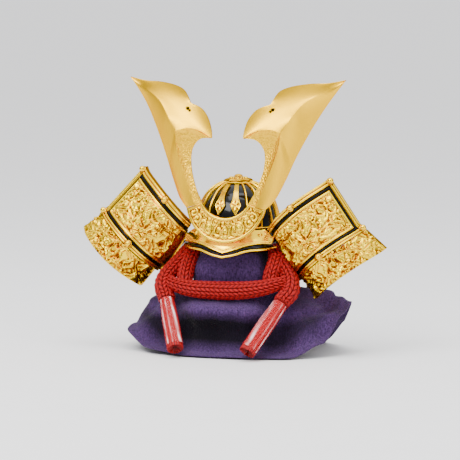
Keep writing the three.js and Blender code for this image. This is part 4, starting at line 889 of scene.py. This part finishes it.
def wing_base(sign, u, across):
    """Wing surface at a distance along from the inner end and a share across."""
    s = u / WING_LENGTH
    t = s * (1 + 0.38 * (1 - s))

    def column(k, end):
        return np.interp(across, [r[0] for r in WING_ROWS], [r[k][end] for r in WING_ROWS])

    def bend(k, inner=1.0, reach=1.0, root=0.0):
        start = column(k, 0) * inner
        middle, stop = (column(k, end) * reach + root * start for end in (1, 2))
        pull = 2 * middle - (start + stop) / 2
        return (1 - t) ** 2 * start + 2 * t * (1 - t) * pull + t ** 2 * stop

    curl = WING_CURL * np.maximum((t - 0.88) / 0.12, 0) ** 2
    return at(sign * (WING_ROOT_X + bend(1, WING_RISE, WING_REACH, 1) - curl),
              bend(3) * WING_PROJECTION - 0.6 * curl, WING_BOTTOM_Z + bend(2) * WING_RISE)


def wing_normal(sign, u, across):
    """Outward normal, from the places a short step to each side."""
    step = 0.4
    rise = step / UPPER_HEIGHT * UPPER
    high, low = (wing_base(sign, u, held(across + k)) for k in (rise, -rise))
    n = unit(np.cross(wing_base(sign, u + step, across) - wing_base(sign, u - step, across), high - low))
    return n * -np.sign(n[..., 1:2])


# Painted shade for cast relief: dark in its hollows, full bright on its high places
def relief_shade(relief):
    return held(2.4 * relief - 0.45)


def wings(side, sign):
    """Upper and lower tier, inlay and studs of one wing."""
    def tier(name, node, u, across, lift, depth, shade, back_shade):
        base = wing_base(sign, u, across)
        face = base + normals_of(base, (0, -1, 0)) * lift[..., None]
        piece(f"{name}_{side}", leaning(slab(face, base - at(0, depth, 0))), CAST, [f"{node}_{side}"],
              {"height": slab_marks(shade, back_shade)}, angle=CAST_ANGLE)

    u, v = np.meshgrid(np.linspace(0, 1, WING_COLUMNS), np.linspace(0, UPPER_HEIGHT, 134), indexing="ij")
    flange = WING_FLANGE * rounded(v / UPPER_HEIGHT * 1.2 - 0.2)
    u = mix(-flange, WING_LENGTH, u)
    inset = np.minimum(np.minimum(v, UPPER_HEIGHT - v), WING_LENGTH - u)
    outer = rounded(np.where(inset < MOULDING / 2, inset, inset - MOULDING / 2) / MOULDING * 2)
    relief = foliage(u, v, PANEL_PITCH, PANEL_SEED)
    smooth_end = held((u - 2.5) / 2)
    field = held((inset - MOULDING - INLAY_WIDTH - BORDER) / 1.2) * smooth_end
    inner = rounded((inset - MOULDING - INLAY_WIDTH - 0.3) / (BORDER - 0.3))
    zones = [inset < edge for edge in np.cumsum([MOULDING, INLAY_WIDTH, BORDER])]
    lift = np.select(zones, [0.1 + 2.6 * outer, -0.5, 2.2 * inner], 0.2 + field * PANEL_RELIEF * relief)
    # Painted light and shade: the moulding lighter on its crown and darker at its edges, the ground under the
    # inlay dark, dark lines beside the inner bead, the relief darker in its hollows
    shade = np.select(zones, [held(outer * 1.5 - 0.3), 0.1, held(inner * 2.4 - 0.4)],
                      mix(0.75, relief_shade(relief), field))
    # Painted shade: a dark ring round the foot of each stud
    for along, down in STUD_PLACES:
        shade *= np.clip((np.hypot(u - along, v - down) - 4) / 1.6, 0.1, 1)
    depth = PANEL_BACK + 6 * np.exp(-np.maximum(u, 0) / 4) * (v > 5)
    tier("wing_panel", "wing_upper", u, v / UPPER_HEIGHT * UPPER, lift, depth, shade, 0.9)
    start = UPPER + GAP / LOWER_HEIGHT * (1 - UPPER)
    u, v = np.meshgrid(np.linspace(0, WING_LENGTH, WING_COLUMNS), np.linspace(start, 1, 64), indexing="ij")
    down = (v - start) * LOWER_HEIGHT / (1 - UPPER)
    inset = np.minimum(np.minimum(u, WING_LENGTH - u), LOWER_HEIGHT - down)
    relief = foliage(u + 3, down + 2, SKIRT_PITCH, SKIRT_SEED)
    lift = (0.1 + SKIRT_RELIEF * relief) * held(inset / 2) - 0.5
    # Painted shade: the skirt's relief darker in its hollows
    tier("wing_skirt", "wing_lower", u, v, lift, SKIRT_BACK, relief_shade(relief), 0.7)
    lanes = []
    for lane_inset in (MOULDING + 0.2, MOULDING + INLAY_WIDTH - 0.2):
        far, low = WING_LENGTH - lane_inset, UPPER_HEIGHT - lane_inset
        along = [np.linspace(0, far, 90), np.full(60, far), np.linspace(far, 0, 90)]
        down = [np.full(90, lane_inset), np.linspace(lane_inset, low, 60), np.full(90, low)]
        lanes.append(np.column_stack([np.concatenate(along), np.concatenate(down)]))
    w = np.linspace(0, 1, 7)[None, :, None]
    strip = mix(lanes[0][:, None], lanes[1][:, None], w)
    spot = (strip[..., 0], strip[..., 1] / UPPER_HEIGHT * UPPER)
    normal, centre = wing_normal(sign, *spot), wing_base(sign, *spot)
    lacquered = slab(centre + normal * (0.4 + 0.7 * rounded(w)), centre - normal * 0.3)
    piece(f"wing_lacquer_{side}", leaning(lacquered), INLAY, [f"wing_inlay_{side}"])
    studs = []
    for along, down in STUD_PLACES:
        spot = (along, down / UPPER_HEIGHT * UPPER)
        n = wing_normal(sign, *spot)
        foot = wing_base(sign, *spot) + n * 2.2
        studs += [dome(4.0, 0.9, foot, n, 28), dome(3.6, 4.0, foot + n * 0.4, n, 28)]
    piece(f"wing_studs_{side}", leaning(together(*studs)), GOLD,
          [f"wing_stud_{side}_{k}" for k in ("top", "corner", "end", "bottom")])


for side, sign in SIDES.items():
    wings(side, sign)

# Neck guard
LAME_HEIGHT, LAME_FLARE, LAME_WALL, LAME_LAP, LAME_ENDS = 14, 12, 1.8, 3, (76, 72, 72)
for level, end in enumerate(LAME_ENDS):
    drop = LAME_HEIGHT - LAME_LAP
    start = level * (LAME_FLARE * drop / LAME_HEIGHT + LAME_WALL + 1.6 * GAP) + 1.5
    turn = np.linspace(math.radians(end), math.radians(360 - end), 150)[:, None]
    s = np.linspace(0, 1, 12)[None]
    z = RIM_Z + 6 - level * drop - s * LAME_HEIGHT
    shell = [at((BAND_SIDE + start + out + s * LAME_FLARE) * np.sin(turn),
                (BAND_FRONT + start + out + s * LAME_FLARE) * np.cos(turn), z) for out in (LAME_WALL, 0)]
    piece(f"guard_lame_{level + 1}", leaning(slab(*shell)), BLACK, [f"neck_lame_{level + 1}"],
          edge=0.4)

# Cloth: rows of turn, then ridge, tuck and hem as shares of the spread and of the flare height
CLOTH_STEP, CLOTH_POINTS, CLOTH_SKIN, RIPPLE, FINE_RIPPLE = 2.0, 92, 1.2, 0.9, 0.5
FOLDS = [
    (0, 0.62, 0.74, 0.55, 0.36, 0.76, 0.02), (24, 0.63, 0.72, 0.58, 0.34, 0.8, 0.02),
    (45, 0.59, 0.64, 0.66, 0.34, 0.9, 0.02), (62, 0.7, 0.66, 0.84, 0.5, 0.96, 0.2),
    (78, 0.8, 0.7, 0.92, 0.66, 0.99, 0.6), (90, 0.83, 0.9, 0.92, 0.82, 1, 0.74),
    (104, 0.76, 0.84, 0.82, 0.6, 0.92, 0.4), (128, 0.68, 0.72, 0.7, 0.4, 0.84, 0.02),
    (158, 0.64, 0.68, 0.62, 0.36, 0.74, 0.02), (190, 0.62, 0.7, 0.6, 0.36, 0.74, 0.02),
    (222, 0.66, 0.68, 0.66, 0.36, 0.8, 0.02), (252, 0.74, 0.72, 0.8, 0.44, 0.88, 0.2),
    (276, 0.76, 0.72, 0.84, 0.5, 0.92, 0.3), (294, 0.68, 0.66, 0.82, 0.42, 0.95, 0.26),
    (312, 0.57, 0.68, 0.66, 0.36, 0.88, 0.08), (336, 0.63, 0.74, 0.57, 0.36, 0.79, 0.02)]


def fold_at(turn):
    """The six fold shares at a turn from the front."""
    rows = FOLDS + [(360, *FOLDS[0][1:])]
    before, after = next(pair for pair in zip(rows, rows[1:]) if pair[1][0] > turn)
    t = (1 - math.cos((turn - before[0]) / (after[0] - before[0]) * math.pi)) / 2
    return [mix(a, b, t) for a, b in zip(before[1:], after[1:])]


def around_column(turn, extra, z):
    """Place at a turn round the column, that far off its faces."""
    a = math.radians(turn)
    half_x, half_y = COLUMN_WIDTH / 2 + extra, COLUMN_DEPTH / 2 + extra
    reach = (abs(math.sin(a) / half_x) ** 5 + abs(math.cos(a) / half_y) ** 5) ** -0.2
    return at(reach * math.sin(a), reach * math.cos(a), z)


def drape():
    """The cloth and the grid of its outer face, a column of points for each turn."""
    off = SEAT + CLOTH_WALL + 0.3
    turns = np.arange(0, 360, CLOTH_STEP)
    columns, painted_cloth_shade = [], []
    for turn in turns:
        ridge, ridge_z, tuck, tuck_z, hem, hem_z = fold_at(turn)
        a = math.radians(turn)

        def outward_at(radius, z):
            return at(radius * CLOTH_SPREAD * math.sin(a), radius * CLOTH_SPREAD * math.cos(a), z)

        top = outward_at(ridge, ridge_z * CLOTH_FLARE)
        deep = outward_at(tuck, tuck_z * CLOTH_FLARE)
        low = outward_at(hem, hem_z * CLOTH_FLARE + CLOTH_WALL + 0.2)
        waist = around_column(turn, off + 3.4, CLOTH_FLARE - 1)
        slope = mix(waist, top, 0.45)
        slope[2] = mix(waist[2], top[2], 0.7 - 0.28 * abs(math.sin(a)))
        brow = top * 1.03
        brow[2] = top[2] - 5
        foot = mix(deep, low, 0.45)
        foot[2] = mix(deep[2], low[2], 0.8)
        upper = [around_column(turn, off + extra, COLUMN_HEIGHT + z) for extra, z in (
            (-COLUMN_WIDTH / 2 + PEG_RADIUS + 6, off), (-COLUMN_TAPER - 1, off),
            (-COLUMN_TAPER + 0.4, off - 1), (2.4, -16))]
        path = spline(upper + [waist, slope, top, brow, deep, foot, low], CLOTH_POINTS)
        past = np.arange(len(path)) - np.linalg.norm(path - brow, axis=1).argmin()
        left = len(path) - 8 - np.arange(len(path))
        columns.append(path)
        # Painted shade: dark in the tuck below the brow, strongest at the front, and on the right side of the
        # column
        tuck_shade = held(past / 7) * held(left / 10) * (0.66 + 0.32 * math.cos(a + 0.25))
        side_shade = held(path[:, 2] / 6 - CLOTH_FLARE / 6) * np.clip(math.sin(a) * 4 - 2.5, 0, 0.8)
        painted_cloth_shade.append(np.maximum(tuck_shade, side_shade))
    grid = np.array(columns)
    n = normals_of(grid, (0, 0, 1))
    outer = grid[..., :2] / np.maximum(np.linalg.norm(grid[..., :2], axis=-1, keepdims=True), 1)
    face_out = np.sign((n[..., :2] * outer).sum(-1, keepdims=True) + 0.6 * n[..., 2:])
    n = n * face_out
    s = np.linspace(0, 1, grid.shape[1])[None]
    t = np.radians(turns)[:, None]
    ripple = RIPPLE * np.sin(9 * t + 6 * s) * held(s * 3 - 1) + FINE_RIPPLE * np.sin(17 * t - 9 * s + 1)
    ripple = ripple * held(s * 2.4 - 0.5)
    ripple[:, -3:] *= 0.3
    face = grid + n * ripple[..., None]
    made = piece("draped_cloth", slab(face, face - n * CLOTH_SKIN, True), CLOTH, ["stand_cloth"],
                 {"fold": slab_marks(painted_cloth_shade)}, angle=SOFT_ANGLE)
    return made, face


cloth, cloth_grid = drape()
a, b = cloth_grid, np.roll(cloth_grid, -1, axis=0)
quads = np.cross(b[:, 1:] - a[:, :-1], b[:, :-1] - a[:, 1:])

post_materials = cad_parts["stand_post"].data.materials
post_materials.clear()
post_materials.append(WOOD.material)

# Floor, light and surroundings
floor_paint = Paint("pale_floor", Roughness=0.6, Specular_IOR_Level=0.3)
floor_tone = floor_paint.noise(60, 3.0)
floor_paint.set(Base_Color=floor_paint.blend(floor_tone, colour(240, 240, 240), colour(244, 244, 244)))
floor_mesh = bpy.data.meshes.new("floor")
corners = [(x * FLOOR_REACH, y * FLOOR_REACH, 0) for x, y in ((-1, -1), (1, -1), (1, 1), (-1, 1))]
floor_mesh.from_pydata(corners, [], [(0, 1, 2, 3)])
floor_mesh.materials.append(floor_paint.material)
floor = bpy.data.objects.new("floor", floor_mesh)
bpy.context.collection.objects.link(floor)


def softbox(name, spot, target, size, watts):
    """Area light, with its places and size in metres."""
    light = bpy.data.lights.new(name, "AREA")
    light.shape, light.size, light.size_y, light.energy = "RECTANGLE", *size, watts
    made = bpy.data.objects.new(name, light)
    bpy.context.collection.objects.link(made)
    made.location = spot
    made.rotation_mode = "QUATERNION"
    made.rotation_quaternion = (Vector(target) - Vector(spot)).to_track_quat("-Z", "Y")


softbox("key", (-0.6, -1.4, 1.6), (0, 0, 0.14), (1.1, 0.7), 34)
softbox("overhead", (0.1, -0.3, 1.9), (0, 0, 0.1), (1.4, 0.8), 22)
softbox("fill", (1.7, -1.0, 0.7), (0, 0, 0.12), (0.5, 1.2), 10)
world = bpy.data.worlds.new("studio")
world.use_nodes = True
bpy.context.scene.world = world
nodes, links = world.node_tree.nodes, world.node_tree.links
sky, split, heading, lift = (nodes.new("ShaderNode" + kind) for kind in (
    "ValToRGB", "SeparateXYZ", "TexCoord", "MapRange"))
lift.inputs["From Min"].default_value = -1
links.new(heading.outputs["Generated"], split.inputs[0])
links.new(split.outputs["Z"], lift.inputs["Value"])
links.new(lift.outputs["Result"], sky.inputs["Fac"])
links.new(sky.outputs["Color"], nodes["Background"].inputs["Color"])
# Rows of height, from straight down at 0 to straight up at 1, and brightness
SKY = ((0.0, 0.1), (0.49, 0.62), (0.6, 0.28), (0.94, 2.2))
while len(sky.color_ramp.elements) < len(SKY):
    sky.color_ramp.elements.new(1.0)
for element, (place, grey) in zip(sky.color_ramp.elements, SKY):
    element.position, element.color = place, (grey, grey, grey * 1.02, 1)
nodes["Background"].inputs["Strength"].default_value = 1.0
